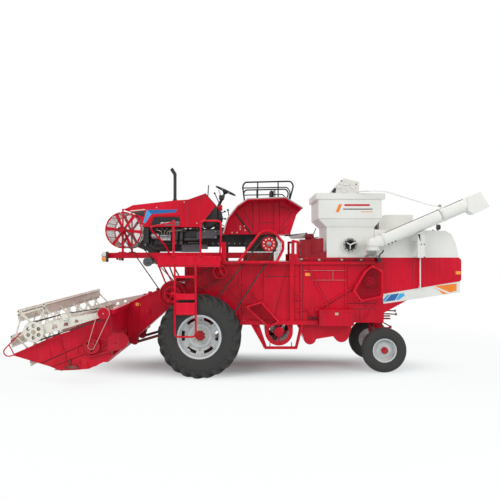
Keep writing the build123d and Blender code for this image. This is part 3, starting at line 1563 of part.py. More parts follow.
def main():
    pairs = [
        ("tyre_drive", drive_tyre()),
        ("rim_drive", join([drive_rim(), drive_hub()])),
        ("tyre_rear", rear_tyre()),
        ("rim_rear", join([rear_rim(), rear_hub()])),
        ("knuckle", knuckle()),
    ]
    for name, piece in pairs:
        save(name + "_right", piece)
        save(name + "_left", flip(piece))

    twins = [
        ("body_sides", body_side()),
        ("side_frames", side_frame()),
        ("pivot_rings", pivot_ring()),
        ("hood_skirts", hood_skirt()),
        ("end_plates", join([end_plate(), divider_loop()])),
        ("fenders", fender()),
        ("lift_barrels", ram_barrel()),
        ("lift_rods", ram_rod()),
    ]
    for name, piece in twins:
        save(name, Compound([piece, flip(piece)]))

    singles = [
        ("reel_arms", Compound([join([reel_arm(), arm_idler()]), flip(reel_arm()), reel_belt()])),
        ("tie_rod", tie_rod()),
        ("drive_axle", drive_axle()),
        ("rear_axle", rear_axle()),
        ("body_plates", join([body_deck(), tank_base()])),
        ("body_floor", body_floor()),
        ("cradle", cradle()),
        ("platform", platform()),
        ("handrails", Compound([handrail(), fender_rail(), flip(fender_rail())])),
        ("ladder", ladder()),
        ("fan_housing", fan_housing()),
        ("fan_rotor", fan_rotor()),
        ("guards", Compound([join([fan_guard(), mesh_guard()]), pto_guard(), chain_guard()])),
        ("lower_troughs", lower_troughs()),
        ("tool_box", tool_box()),
        ("grain_tank", grain_tank()),
        ("auger_head", auger_head()),
        ("grain_elevator", grain_elevator()),
        ("elbow_base", Compound([elbow_base(), tank_flange()])),
        ("hood_cover", join([hood_cover(), rear_box()])),
        ("straw_hood", join([straw_hood(), rear_gusset()])),
        ("drawbar", drawbar()),
        ("unloader_tube", join([unloader(), spout()])),
        ("unloader_stay", stay_rod()),
        ("unloader_saddle", Compound([saddle(), stay_arm()])),
        ("feeder_house", feeder_house()),
        ("header_pan", header_pan()),
        ("cutter_bar", cutter_bar()),
        ("header_auger", header_auger()),
        ("header_drive", Compound([
            lower_wheel(), upper_wheel(), header_belt(), header_guard(), feeder_pulley(), screen_drive_pulley(),
        ])),
        ("reel_frame", join([reel_frame(), reel_pulley()])),
        ("reel_bats", reel_bats()),
        ("tractor_hood", tractor_hood()),
        ("engine", join([engine_block(), front_support(), radiator(), exhaust()])),
        ("transmission", transmission()),
        ("screen_mount", screen_mount()),
        ("drum_screen", drum_screen()),
        ("steering", join([dash(), steering_wheel()])),
        ("seat", join([seat(), seat_post()])),
        ("belts", Compound([main_belt(), feeder_belt(), screen_belt(), walker_belt()])),
        ("pulleys", Compound([lower_pulley(), side_pulley()] + walker_pulleys())),
        ("lamps", lamps()),
    ]
    for name, piece in singles:
        save(name, piece)

    seats = [
        ("auger_head", "grain_tank"),
        ("fan_housing", "body_floor"),
        ("drawbar", "rear_axle"),
        ("body_sides", "side_frames"),
        ("tool_box", "body_sides"),
        ("tool_box", "side_frames"),
        ("header_drive", "end_plates"),
        ("header_pan", "end_plates"),
        ("engine", "tractor_hood"),
        ("guards", "fan_housing"),
        ("guards", "side_frames"),
        ("feeder_house", "header_pan"),
        ("handrails", "fenders"),
        ("handrails", "platform"),
        ("grain_elevator", "side_frames"),
        ("grain_elevator", "body_sides"),
        ("platform", "side_frames"),
        ("reel_bats", "reel_frame"),
        ("tyre_drive_left", "rim_drive_left"),
        ("tyre_drive_right", "rim_drive_right"),
        ("tyre_rear_left", "rim_rear_left"),
        ("tyre_rear_right", "rim_rear_right"),
        ("steering", "tractor_hood"),
        ("unloader_stay", "unloader_tube"),
    ]
    for name, tool in seats:
        trim(name, tool)

    for name, piece in PARTS.items():
        export_step(piece, f"parts/{name}.step")


main()
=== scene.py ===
import json
import math

import bmesh
import bpy
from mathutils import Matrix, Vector


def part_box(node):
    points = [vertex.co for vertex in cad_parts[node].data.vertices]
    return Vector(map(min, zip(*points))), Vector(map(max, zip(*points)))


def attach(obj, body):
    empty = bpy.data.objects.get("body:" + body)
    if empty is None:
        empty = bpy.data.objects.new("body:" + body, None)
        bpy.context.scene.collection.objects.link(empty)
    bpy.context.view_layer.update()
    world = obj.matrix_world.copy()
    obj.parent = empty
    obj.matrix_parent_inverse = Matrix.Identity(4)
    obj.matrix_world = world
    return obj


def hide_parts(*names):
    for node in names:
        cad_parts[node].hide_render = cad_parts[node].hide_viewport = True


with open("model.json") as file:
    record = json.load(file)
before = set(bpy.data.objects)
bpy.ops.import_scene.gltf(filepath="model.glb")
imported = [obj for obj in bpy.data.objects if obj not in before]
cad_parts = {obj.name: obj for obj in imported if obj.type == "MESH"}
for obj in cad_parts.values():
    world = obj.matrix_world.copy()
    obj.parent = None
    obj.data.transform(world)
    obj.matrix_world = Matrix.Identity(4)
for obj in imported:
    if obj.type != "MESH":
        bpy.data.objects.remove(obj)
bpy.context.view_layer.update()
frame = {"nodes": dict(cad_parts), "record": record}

NODES = frame["nodes"]

# Axles and pins that the pieces share, as (x, z) in metres. SWIVEL is (x, y).
DRUM = (-2.455, 2.568)
DRIVE_HUB = (-0.975, 0.715)
REAR_HUB = (2.3, 0.402)
REEL = (-3.556, 0.895)
AUGER = (-2.76, 0.59)
IDLER = (-3.054, 1.132)
MAIN_PULLEY = (0.228, 2.305)
LOWER_PULLEY = (-0.64, 1.08)
FEEDER_SHAFT = (-1.5, 1.4)
FEEDER_PULLEY = (-0.648, 1.811)
FRONT_PULLEY = (-1.962, 1.985)
ARM_WHEEL = (-2.438, 1.19)
FAN = (0.415, 0.719)
SWIVEL = (2.068, -0.85)
# Side faces of the hood, body and skirts, and the reel's measures
HOOD_SIDE = 0.33
BODY_SIDE = 0.62
SKIRT_SIDE = 0.612
SIDES = ((-1, "left"), (1, "right"))
BAT_REACH = 0.43
TINE_PITCH = 0.0275
# Doubles closer than this are merged. Films are sunk into their face and stand out of it.
DOUBLES = 0.00005
FILM_SINK = 0.001
FILM_DEPTH = 0.0016
# The seat's pads: grain of their mesh and how far the cloth may swell
PAD_VOXEL = 0.0065
PAD_SWELL = 0.016
# Stage: the camera's place and focal length in millimetres follow the photograph
EYE = (-0.109, -11.5, 2.2)
FOCAL_LENGTH = 43.2
FLOOR_RADIUS = 16
# Colour of steel where the paint is worn off
BARE_STEEL = "#A8A39C"


# Finishes

def linear(hex_colour):
    # sRGB hex to the linear numbers that a shader takes.
    values = [int(hex_colour[i:i + 2], 16) / 255 for i in (1, 3, 5)]
    return tuple(v / 12.92 if v <= 0.04045 else ((v + 0.055) / 1.055) ** 2.4 for v in values) + (1.0,)


def add_node(tree, kind, settings=None, links=None):
    # One node with its settings. A link is a socket of another node, and anything else is a value.
    made = tree.nodes.new("ShaderNode" + kind)
    for name, value in (settings or {}).items():
        if name == "stops":
            band = made.color_ramp
            while len(band.elements) < len(value):
                band.elements.new(0.5)
            for element, (position, colour) in zip(band.elements, value):
                element.position = position
                element.color = linear(colour)
        else:
            setattr(made, name, value)
    for name, value in (links or {}).items():
        if isinstance(value, bpy.types.NodeSocket):
            tree.links.new(value, made.inputs[name])
        else:
            made.inputs[name].default_value = value
    return made


def start_finish(name, **sockets):
    # Empty finish with its place on the piece and its shader. What is the same all over is set on the shader.
    material = bpy.data.materials.new(name)
    material.use_nodes = True
    tree = material.node_tree
    tree.nodes.clear()
    place = add_node(tree, "TexCoord").outputs["Object"]
    shader = add_node(tree, "BsdfPrincipled")
    for socket, value in sockets.items():
        shader.inputs[socket.replace("_", " ")].default_value = value
    out = add_node(tree, "OutputMaterial")
    tree.links.new(shader.outputs[0], out.inputs["Surface"])
    return material, tree, place, shader


def enamel(name, colour, shade, rough=0.3, dust_top=0.9, dust_share=0.07, dust="#B7A48E", chips=0.0,
           chip="#6B4B42", cast=0.0, marks=(), rubbed=None):
    # Sprayed and baked enamel: an even coat with a clear gloss, faint orange peel and the sheet's slow
    # waviness under it, streaks from washing, and field dust that thickens towards the ground.
    material, tree, place, shader = start_finish(name, Coat_Weight=0.1, Coat_Roughness=0.12, Specular_IOR_Level=0.14)
    parts = add_node(tree, "SeparateXYZ", None, {"Vector": place})
    patches = add_node(tree, "TexNoise", None, {"Vector": place, "Scale": 1.7, "Detail": 3.0})
    tone = add_node(tree, "MapRange", None, {"Value": patches.outputs["Fac"], "From Min": 0.35, "From Max": 0.7})
    base = add_node(tree, "Mix", {"data_type": "RGBA"},
                    {0: tone.outputs["Result"], 6: linear(colour), 7: linear(shade)}).outputs[2]
    layers = []
    for zone, mark in marks:
        inside = None
        for axis, (low, high) in zone.items():
            held = add_node(tree, "Math", {"operation": "COMPARE"},
                            {0: parts.outputs[axis], 1: (low + high) / 2, 2: (high - low) / 2}).outputs[0]
            if inside is not None:
                held = add_node(tree, "Math", {"operation": "MULTIPLY"}, {0: inside, 1: held}).outputs[0]
            inside = held
        layers.append((inside, mark))
    # Washing streaks run down: the noise is stretched along Z to about 0.8 m long and 40 mm wide.
    run = add_node(tree, "Mapping", None, {"Vector": place, "Scale": (24.0, 24.0, 1.2)})
    streak = add_node(tree, "TexNoise", None, {"Vector": run.outputs[0], "Scale": 1.0, "Detail": 2.0})
    shadow = add_node(tree, "MapRange", None,
                      {"Value": streak.outputs["Fac"], "From Min": 0.5, "From Max": 0.8, "To Max": 0.035})
    layers.append((shadow.outputs["Result"], dust))
    # Dust in clouds of about 100 mm, none above the height where the wheels stop throwing it.
    clouds = add_node(tree, "TexNoise", None, {"Vector": place, "Scale": 9.0, "Detail": 6.0, "Roughness": 0.7})
    cloud = add_node(tree, "MapRange", None, {"Value": clouds.outputs["Fac"], "From Min": 0.4, "From Max": 0.75,
                                              "To Min": 0.25, "To Max": 1.5})
    low = add_node(tree, "MapRange", None, {"Value": parts.outputs["Z"], "From Min": 0.1, "From Max": dust_top,
                                            "To Min": dust_share, "To Max": 0.0})
    dusty = add_node(tree, "Math", {"operation": "MULTIPLY"},
                     {0: cloud.outputs["Result"], 1: low.outputs["Result"]}).outputs[0]
    layers.append((dusty, dust))
    gloss = add_node(tree, "MapRange", None, {"Value": clouds.outputs["Fac"], "From Min": 0.3, "From Max": 0.8,
                                              "To Min": rough - 0.06, "To Max": rough + 0.14})
    if chips:
        # Chips of 5 to 30 mm where stones and crop have struck.
        flaws = add_node(tree, "TexNoise", None, {"Vector": place, "Scale": 34.0, "Detail": 8.0, "Roughness": 0.75})
        bare = add_node(tree, "MapRange", None, {"Value": flaws.outputs["Fac"], "From Min": 0.66 - chips,
                                                 "From Max": 0.7 - chips, "To Max": 0.85})
        layers.append((bare.outputs["Result"], chip))
    if rubbed:
        # Beyond this distance from the shaft the crop has rubbed the paint down to bright steel.
        x, z, radius = rubbed
        away = add_node(tree, "Mapping", None, {"Vector": place, "Location": (-x, 0.0, -z), "Scale": (1.0, 0.0, 1.0)})
        reach = add_node(tree, "VectorMath", {"operation": "LENGTH"}, {0: away.outputs[0]})
        bright = add_node(tree, "MapRange", None, {"Value": reach.outputs["Value"], "From Min": radius,
                                                   "From Max": radius + 0.012, "To Max": 0.9})
        layers.append((bright.outputs["Result"], BARE_STEEL))
        tree.links.new(bright.outputs["Result"], shader.inputs["Metallic"])
    for share, over in layers:
        base = add_node(tree, "Mix", {"data_type": "RGBA"}, {0: share, 6: base, 7: linear(over)}).outputs[2]
    tree.links.new(base, shader.inputs["Base Color"])
    tree.links.new(gloss.outputs["Result"], shader.inputs["Roughness"])
    # Orange peel is about 3 mm across on the real sheet, drawn at 8 mm to show. A casting is coarser and deeper.
    skin = add_node(tree, "TexNoise", None, {"Vector": place, "Scale": 60.0 if cast else 125.0, "Detail": 3.0})
    peel = add_node(tree, "Bump", None, {"Strength": 0.6, "Distance": cast or 0.0004, "Height": skin.outputs["Fac"]})
    wave = add_node(tree, "TexNoise", None, {"Vector": place, "Scale": 3.2, "Detail": 1.0})
    bend = add_node(tree, "Bump", None, {"Strength": 0.5, "Distance": 0.006, "Height": wave.outputs["Fac"],
                                         "Normal": peel.outputs["Normal"]})
    tree.links.new(bend.outputs["Normal"], shader.inputs["Normal"])
    return material


def grained(name, colour, shade, rough=0.5, metallic=0.0, patch=10.0, grain=200.0, depth=0.0004, rings=None,
            **sockets):
    # Solid-coloured stuff with a slow change of tone and a fine grain of its own.
    material, tree, place, shader = start_finish(name, Metallic=metallic, **sockets)
    patches = add_node(tree, "TexNoise", None, {"Vector": place, "Scale": patch, "Detail": 5.0})
    base = add_node(tree, "ValToRGB", {"stops": [(0.34, colour), (0.72, shade)]}, {"Fac": patches.outputs["Fac"]})
    gloss = add_node(tree, "MapRange", None, {"Value": patches.outputs["Fac"], "From Min": 0.3, "From Max": 0.8,
                                              "To Min": rough - 0.07, "To Max": rough + 0.1})
    grit = add_node(tree, "TexNoise", None, {"Vector": place, "Scale": grain, "Detail": 3.0})
    bump = add_node(tree, "Bump", None, {"Strength": 0.8, "Distance": depth, "Height": grit.outputs["Fac"]})
    if rings:
        # Moulded rings round the wheel's axle, 25 mm apart on the side wall.
        centre = add_node(tree, "Mapping", None, {"Vector": place, "Location": (-rings[0], 0.0, -rings[1])})
        wave = add_node(tree, "TexWave", {"wave_type": "RINGS", "rings_direction": "Y"},
                        {"Vector": centre.outputs[0], "Scale": 12.6, "Distortion": 0.0})
        bump = add_node(tree, "Bump", None, {"Strength": 0.35, "Distance": 0.003, "Height": wave.outputs["Fac"],
                                             "Normal": bump.outputs["Normal"]})
    tree.links.new(base.outputs["Color"], shader.inputs["Base Color"])
    tree.links.new(gloss.outputs["Result"], shader.inputs["Roughness"])
    tree.links.new(bump.outputs["Normal"], shader.inputs["Normal"])
    return material


# Baked enamel on pressed and welded sheet: a deep even red with soft wide reflections.
RED = enamel("baked_red_enamel", "#D40A2C", "#BC0826", dust_share=0.05)
# The same enamel over a sand casting: a coarse skin, duller and dustier.
RED_CAST = enamel("red_enamel_on_casting", "#BE1029", "#A00D22", rough=0.38, cast=0.0016, dust_share=0.12)
# Freshly painted rails, guards and platform: the cleanest and brightest red.
RED_BRIGHT = enamel("bright_red_enamel", "#E00A2E", "#D00828", dust_share=0.03)
# Fenders: a slightly bluer, deeper red.
RED_DEEP = enamel("crimson_enamel", "#D2062E", "#BE0528", dust_share=0.04)
# Header sheets that the crop slides over: the same enamel, scratched and dustier.
RED_HEADER = enamel("crop_worn_red_enamel", "#D2082C", "#B80626", rough=0.36, dust_top=0.9, dust_share=0.04,
                    chips=0.006)
# Screw flights whose edges the crop polishes to bright steel.
RED_AUGER = enamel("crop_polished_red_enamel", "#B51029", "#970C20", rough=0.36, rubbed=(AUGER[0], AUGER[1], 0.222))
# Tank, hood and unloader: warm white enamel, faintly dusty to well above the wheels.
WHITE = enamel("baked_white_enamel", "#E7E6E1", "#E0DFDA", rough=0.34, dust_top=2.4, dust_share=0.05)
# Reel slats and tine stars: brushed cream enamel that the crop has rubbed and stained.
CREAM = enamel("rubbed_cream_enamel", "#F1EBE1", "#E2DACE", rough=0.46, dust_share=0.22, chips=0.07, chip="#9A7468",
               marks=[({"Y": (-1.9455, -1.9255), "X": (-3.8, -3.125)}, "#35312E"),
                      ({"Y": (-1.9455, -1.9255), "X": (-2.985, -2.3)}, "#35312E")])
# Header drive: its wheels are red and the belt round them shows pale, marked by its place.
RED_DRIVE = enamel("red_enamel_with_pale_belt", "#C8122E", "#A80E26", rough=0.34, chips=0.01,
                   marks=[({"Y": (-1.9712, -1.9568), "X": (-2.8, -2.374)}, "#D2A29A"),
                          ({"Y": (-1.9712, -1.9568), "Z": (1.0, 1.32)}, "#D2A29A")])
# Sheet boxes on the deck behind the driver are in a darker red.
RED_BOXES = enamel("red_enamel_with_dark_boxes", "#C8102E", "#B00D27",
                   marks=[({"Z": (2.064, 2.6), "Y": (-0.64, -0.28), "X": (0.6, 1.4)}, "#931B27")])
# Bent tube: black by the seat and red towards the front, one smooth gloss coat.
RAIL = enamel("enamel_on_tube", "#1D1D1E", "#151516", rough=0.32, marks=[({"X": (-3.0, -0.42)}, "#C01230")])
# Chassis black: satin, with road dust.
BLACK = enamel("black_chassis_enamel", "#1D1D1E", "#141415", rough=0.4, dust_share=0.3)
# Pale satin grey for trim parts and the edging along folds and rims; laid as thin lines on the body's ribs it is a
# painted highlight.
TRIM_AND_HIGHLIGHT = enamel("satin_trim_and_painted_highlight", "#B9B4B0", "#9B9692", rough=0.4)
# Slate and dark grey enamels of bought-in parts, flat beside the red.
SLATE = enamel("slate_grey_enamel", "#5E6469", "#50555A", rough=0.45)
GREY_DARK = enamel("dark_grey_enamel", "#3A3638", "#2C292B", rough=0.45)
# Thin dark red oxide paint under the body, dull and dusty.
PRIMER = enamel("dark_red_oxide_paint", "#7E1420", "#56101A", rough=0.5, cast=0.001, dust_share=0.3)
# Sand-cast iron in dull grey paint: a coarse skin with oil-dark patches.
IRON = grained("painted_cast_iron", "#202224", "#111213", 0.5, 0.15, 7.0, 90.0, 0.0016)
# Die-cast aluminium: bright grey with a fine sandy skin.
ALLOY = grained("cast_aluminium", "#8E9092", "#6C6E70", 0.42, 0.85, 16.0, 150.0, 0.0006)
# Wheel discs in silver enamel: a pale soft gloss, dusty near the ground.
SILVER = enamel("silver_wheel_enamel", "#D6D8D9", "#C4C6C8", rough=0.34, dust_share=0.18)
# Ground, plated and drawn metals: sharp highlights, each with its own tint.
STEEL = grained("ground_knife_steel", "#98958F", "#6F6A64", 0.36, 0.9, 22.0, 240.0, 0.0003)
CHROME = grained("hard_chrome_plate", "#D8D8DA", "#C6C6C9", 0.14, 1.0, 6.0, 300.0, 0.0001)
ZINC = grained("yellow_zinc_plate", "#C9B9A4", "#A39684", 0.38, 0.75, 40.0, 300.0, 0.0002)
WIRE = grained("galvanised_wire", "#C9C5C0", "#A9A49E", 0.45, 0.5, 30.0, 300.0, 0.0002)
# Coated wires: matt cream, dusty brown and dull red.
TINE = grained("cream_coated_spring_wire", "#E4DACE", "#C9BEB2", 0.5, 0.1, 30.0, 300.0, 0.0002)
BROWN_MESH = grained("dusty_brown_mesh", "#6B5148", "#4A3630", 0.6, 0.2, 20.0, 260.0, 0.0003)
RED_MESH = grained("red_coated_mesh", "#8E1526", "#6A101C", 0.5, 0.1, 20.0, 260.0, 0.0003)
# Vulcanised tyre rubber: matt, near black, with grey dust in its pores and moulded rings.
DRIVE_TYRE = grained("drive_tyre_rubber", "#2B2B2B", "#3A3835", 0.82, 0.0, 6.0, 120.0, 0.0014, rings=DRIVE_HUB)
REAR_TYRE = grained("rear_tyre_rubber", "#2A2A2A", "#383634", 0.82, 0.0, 8.0, 140.0, 0.0012, rings=REAR_HUB)
# Belt rubber, moulded plastic and grained vinyl: dark, with hardly any highlight.
BELT = grained("worn_belt_rubber", "#3A322D", "#241F1C", 0.72, 0.0, 14.0, 260.0, 0.0004)
PLASTIC = grained("moulded_black_plastic", "#1D1D1E", "#282829", 0.48, 0.0, 18.0, 320.0, 0.0003)
VINYL = grained("grained_black_vinyl", "#1E1E1F", "#2A2A2B", 0.5, 0.0, 12.0, 380.0, 0.0007, Sheen_Weight=0.2)
# Acrylic lens with a glossy skin; the lamps' own lenses are marked out by place.
AMBER = grained("amber_acrylic_lens", "#F5A02A", "#E98A14", 0.16, 0.0, 60.0, 120.0, 0.001, Coat_Weight=0.6)
LENS = enamel("lamp_lenses", "#F08A1E", "#E07A14", rough=0.15, dust_share=0.0,
              marks=[({"Z": (2.077, 2.3)}, "#E9EAEC"), ({"X": (-2.787, -2.6)}, "#1C1C1D")])
# Printed vinyl films: even colour, a low sheen and no depth.
BLUE_FILM = grained("blue_film", "#1468AE", "#0F5A9C", 0.28, 0.0, 5.0, 200.0, 0.0001)
SKY_FILM = grained("light_blue_film", "#3FAEE4", "#329ED6", 0.28, 0.0, 5.0, 200.0, 0.0001)
ORANGE_FILM = grained("orange_film", "#F28A22", "#E87C14", 0.28, 0.0, 5.0, 200.0, 0.0001)
# Cream film used only as a painted highlight along the top edge of the hood's nose.
CREAM_HIGHLIGHT_FILM = grained("cream_painted_highlight_film", "#E8DFD0", "#DDD3C2", 0.3, 0.0, 5.0, 200.0, 0.0001)
RED_FILM = grained("red_film", "#C8142E", "#B81028", 0.28, 0.0, 5.0, 200.0, 0.0001)
GREY_FILM = grained("dark_grey_film", "#55575A", "#494B4E", 0.3, 0.0, 5.0, 200.0, 0.0001)
# Dark red film: the dark of an open seam between two sheets, and painted shade where it is laid beside raised ribs,
# channels and folds. Dull, with hardly any light coming back.
SEAM_AND_SHADE = grained("seam_dark_and_painted_shade", "#5A0B16", "#4A0912", 0.7, 0.0, 5.0, 200.0, 0.0001)

SLOT_FINISH = {
    "red_paint": RED, "white_paint": WHITE, "cream_paint": CREAM, "black_paint": RAIL, "dark_steel": PRIMER,
    "engine_grey": IRON, "rim_silver": SILVER, "bright_steel": STEEL, "chrome_rod": CHROME, "tyre": DRIVE_TYRE,
    "belt_rubber": BELT, "black_plastic": PLASTIC, "seat_vinyl": VINYL, "lamp_glass": LENS,
}
NODE_FINISH = {
    "header_pan": RED_HEADER, "end_plates": RED_HEADER, "feeder_house": RED_HEADER, "header_drive": RED_DRIVE,
    "header_auger": RED_AUGER, "rear_axle": RED_CAST, "pivot_rings": RED_CAST, "unloader_stay": WHITE,
    # The lift rods are bare chrome: the dark red oxide paint on them is a painted reflection of the red body and the
    # shade beneath it.
    "unloader_saddle": WHITE, "fenders": RED_DEEP, "guards": RED_BRIGHT, "lift_rods": PRIMER, "lift_barrels": PRIMER,
    "platform": RED_BRIGHT, "ladder": RED_BRIGHT, "body_plates": RED_BOXES, "cutter_bar": STEEL,
    "rear_tyre_left": REAR_TYRE, "rear_tyre_right": REAR_TYRE,
}
FINISH_SLOT = {look.name: slot for slot, look in SLOT_FINISH.items()}
for slot, looks in (("red_paint", (RED_CAST, RED_HEADER, RED_BRIGHT, RED_DEEP, RED_MESH, RED_FILM, SEAM_AND_SHADE)),
                    ("white_paint", (BLUE_FILM, SKY_FILM, ORANGE_FILM)), ("cream_paint", (TINE, CREAM_HIGHLIGHT_FILM)),
                    ("black_paint", (BLACK, GREY_DARK, GREY_FILM)), ("engine_grey", (ALLOY, SLATE)),
                    ("bright_steel", (ZINC, WIRE)), ("dark_steel", (BROWN_MESH,)), ("rim_silver", (TRIM_AND_HIGHLIGHT,)),
                    ("lamp_glass", (AMBER,))):
    FINISH_SLOT.update({look.name: slot for look in looks})

for part in frame["record"]["subparts"]:
    mesh = NODES[part["node"]].data
    mesh.materials.clear()
    mesh.materials.append(NODE_FINISH.get(part["node"], SLOT_FINISH[part["material_slot"]]))


# Workshop: how the added pieces are made

def rest():
    # Object mode with nothing selected.
    if bpy.context.object and bpy.context.object.mode != "OBJECT":
        bpy.ops.object.mode_set(mode="OBJECT")
    bpy.ops.object.select_all(action="DESELECT")


def settle():
    # The piece's place, turn and size go into its mesh.
    bpy.ops.object.transform_apply(location=True, rotation=True, scale=True)


def edit(kind):
    # Edit mode on corners, edges or faces, with all of them selected.
    bpy.ops.object.mode_set(mode="EDIT")
    bpy.ops.mesh.select_mode(type=kind)
    bpy.ops.mesh.select_all(action="SELECT")


def modify(piece, kind, **settings):
    # One modifier with its settings, applied to the piece.
    change = piece.modifiers.new("change", kind)
    for name, value in settings.items():
        setattr(change, name, value)
    bpy.ops.object.modifier_apply(modifier="change")


def take(*made):
    # Only these are selected, and the first is the one worked on.
    rest()
    for piece in made:
        piece.select_set(True)
    bpy.context.view_layer.objects.active = made[0]


def pick(test):
    # In edit mode, selects the faces that pass the test.
    bpy.ops.mesh.select_mode(type="FACE")
    bpy.ops.mesh.select_all(action="DESELECT")
    shape = bmesh.from_edit_mesh(bpy.context.object.data)
    shape.normal_update()
    for face in shape.faces:
        face.select_set(test(face))
    bmesh.update_edit_mesh(bpy.context.object.data)


def finish(piece, name, material, body="chassis", bevel=0.0, smooth=35.0, merge=DOUBLES):
    # Place into the mesh, rounded edges, merged doubles, faces out, finish and body.
    take(piece)
    settle()
    if bevel:
        modify(piece, "BEVEL", width=bevel, segments=2, limit_method="ANGLE", angle_limit=math.radians(40))
    bpy.ops.object.mode_set(mode="EDIT")
    bpy.ops.mesh.select_all(action="SELECT")
    if merge:
        bpy.ops.mesh.remove_doubles(threshold=merge)
    bpy.ops.mesh.normals_make_consistent(inside=False)
    bpy.ops.object.mode_set(mode="OBJECT")
    bpy.ops.object.shade_smooth_by_angle(angle=math.radians(smooth))
    piece.name = name
    piece.data.name = name
    piece.data.materials.clear()
    piece.data.materials.append(material)
    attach(piece, body)
    return piece


def joined(made):
    # Several objects made one, each with its place in the mesh.
    take(*made)
    settle()
    if len(made) > 1:
        bpy.ops.object.join()
    return bpy.context.object


def repeat(piece, moves):
    # Copies of one modelled shape, each with its own mesh, moved by these steps and made one with it.
    take(piece)
    settle()
    made = []
    for move in moves:
        copy = piece.copy()
        copy.data = piece.data.copy()
        copy.location = Vector(move)
        bpy.context.scene.collection.objects.link(copy)
        made.append(copy)
    bpy.data.objects.remove(piece)
    return joined(made)


def block(lo, hi):
    # Box between two corners, with its place in its mesh.
    rest()
    centre = (Vector(lo) + Vector(hi)) / 2
    bpy.ops.mesh.primitive_cube_add(size=1, location=centre)
    bpy.context.object.scale = Vector(hi) - Vector(lo)
    settle()
    return bpy.context.object


def pressed(lo, hi, way, rim, depth):
    # Box whose face towards way has a rim, and its middle pushed in or pulled out by depth.
    piece = block(lo, hi)
    bpy.ops.object.mode_set(mode="EDIT")
    pick(lambda face: face.normal.dot(Vector(way)) > 0.9)
    bpy.ops.mesh.inset(thickness=rim, depth=0)
    bpy.ops.mesh.inset(thickness=abs(depth) * 0.6, depth=depth)
    bpy.ops.object.mode_set(mode="OBJECT")
    return piece


def turned(centre, profile, way="Y", sides=32):
    # Round shape: a circle of the first radius, pulled along its axis and resized for each (radius, along) step.
    rest()
    axis = {"X": Vector((1, 0, 0)), "Y": Vector((0, 1, 0)), "Z": Vector((0, 0, 1))}[way]
    turn = {"X": (0, math.radians(90), 0), "Y": (math.radians(90), 0, 0), "Z": (0, 0, 0)}[way]
    radius, along = profile[0]
    bpy.ops.mesh.primitive_circle_add(vertices=sides, radius=radius, location=Vector(centre) + axis * along,
                                      rotation=turn)
    piece = bpy.context.object
    settle()
    edit("EDGE")
    for new_radius, new_along in profile[1:]:
        bpy.ops.mesh.extrude_edges_move(TRANSFORM_OT_translate={"value": axis * (new_along - along)})
        if abs(new_radius - radius) > 0.00001:
            share = new_radius / radius
            size = [1.0 if part else share for part in axis]
            bpy.ops.transform.resize(value=size, center_override=Vector(centre) + axis * new_along)
        radius, along = new_radius, new_along
    bpy.ops.mesh.select_all(action="SELECT")
    bpy.ops.mesh.remove_doubles(threshold=DOUBLES)
    bpy.ops.mesh.select_all(action="SELECT")
    bpy.ops.mesh.fill_holes(sides=0)
    bpy.ops.object.mode_set(mode="OBJECT")
    return piece


def plate(outline, start, depth, way="Y"):
    # Flat plate: one point is pulled from corner to corner, closed to a face and given its thickness.
    rest()
    if way == "Y":
        corners = [Vector((a, start, b)) for a, b in outline]
        step = Vector((0, depth, 0))
    else:
        corners = [Vector((start, a, b)) for a, b in outline]
        step = Vector((depth, 0, 0))
    bpy.ops.mesh.primitive_plane_add(size=0.01, location=corners[0])
    settle()
    edit("VERT")
    bpy.ops.mesh.merge(type="CENTER")
    for here, there in zip(corners[:-1], corners[1:]):
        bpy.ops.mesh.extrude_vertices_move(TRANSFORM_OT_translate={"value": there - here})
    bpy.ops.mesh.select_all(action="SELECT")
    bpy.ops.mesh.edge_face_add()
    bpy.ops.mesh.extrude_region_move(TRANSFORM_OT_translate={"value": step})
    bpy.ops.object.mode_set(mode="OBJECT")
    return bpy.context.object


def pipe(runs, radius, sides=3):
    # Round bar through each run's points, one mesh with closed ends.
    rest()
    curve = bpy.data.curves.new("pipe", "CURVE")
    curve.dimensions = "3D"
    curve.bevel_depth = radius
    curve.bevel_resolution = sides - 1
    curve.use_fill_caps = True
    for points in runs:
        spline = curve.splines.new("POLY")
        spline.points.add(len(points) - 1)
        for point, place in zip(spline.points, points):
            point.co = (*place, 1.0)
    piece = bpy.data.objects.new("pipe", curve)
    bpy.context.scene.collection.objects.link(piece)
    take(piece)
    bpy.ops.object.convert(target="MESH")
    return bpy.context.object


def bolted(name, places, size, material, way=(0, -1, 0), body="chassis"):
    # Six-sided heads on round washers, all facing one way, as one finished piece.
    rest()
    aim = Vector(way).to_track_quat("Z", "Y").to_euler()
    bpy.ops.mesh.primitive_cylinder_add(vertices=6, radius=size, depth=size * 1.1)
    settle()
    head = bpy.context.object
    bpy.ops.object.mode_set(mode="EDIT")
    bpy.ops.mesh.select_all(action="SELECT")
    bpy.ops.transform.translate(value=(0, 0, size * 0.75))
    pick(lambda face: face.normal.z > 0.9)
    bpy.ops.mesh.inset(thickness=size * 0.22, depth=size * 0.14)
    bpy.ops.object.mode_set(mode="OBJECT")
    rest()
    bpy.ops.mesh.primitive_cylinder_add(vertices=12, radius=size * 1.35, depth=size * 0.5)
    washer = bpy.context.object
    bpy.ops.object.mode_set(mode="EDIT")
    pick(lambda face: face.normal.z > 0.9)
    bpy.ops.mesh.inset(thickness=size * 0.2, depth=size * 0.05)
    bpy.ops.object.mode_set(mode="OBJECT")
    head = joined([head, washer])
    head.rotation_euler = aim
    return finish(repeat(head, places), name, material, body, merge=0.0)


def at(place, y):
    # A place on the plane of the machine's length and height, set out at y.
    return (place[0], y, place[1])


def on(y, *places):
    # The same for several places.
    return [at(place, y) for place in places]


def oblong(x0, z0, x1, z1):
    # Outline of an upright rectangle from two opposite corners.
    return [(x0, z0), (x1, z0), (x1, z1), (x0, z1)]


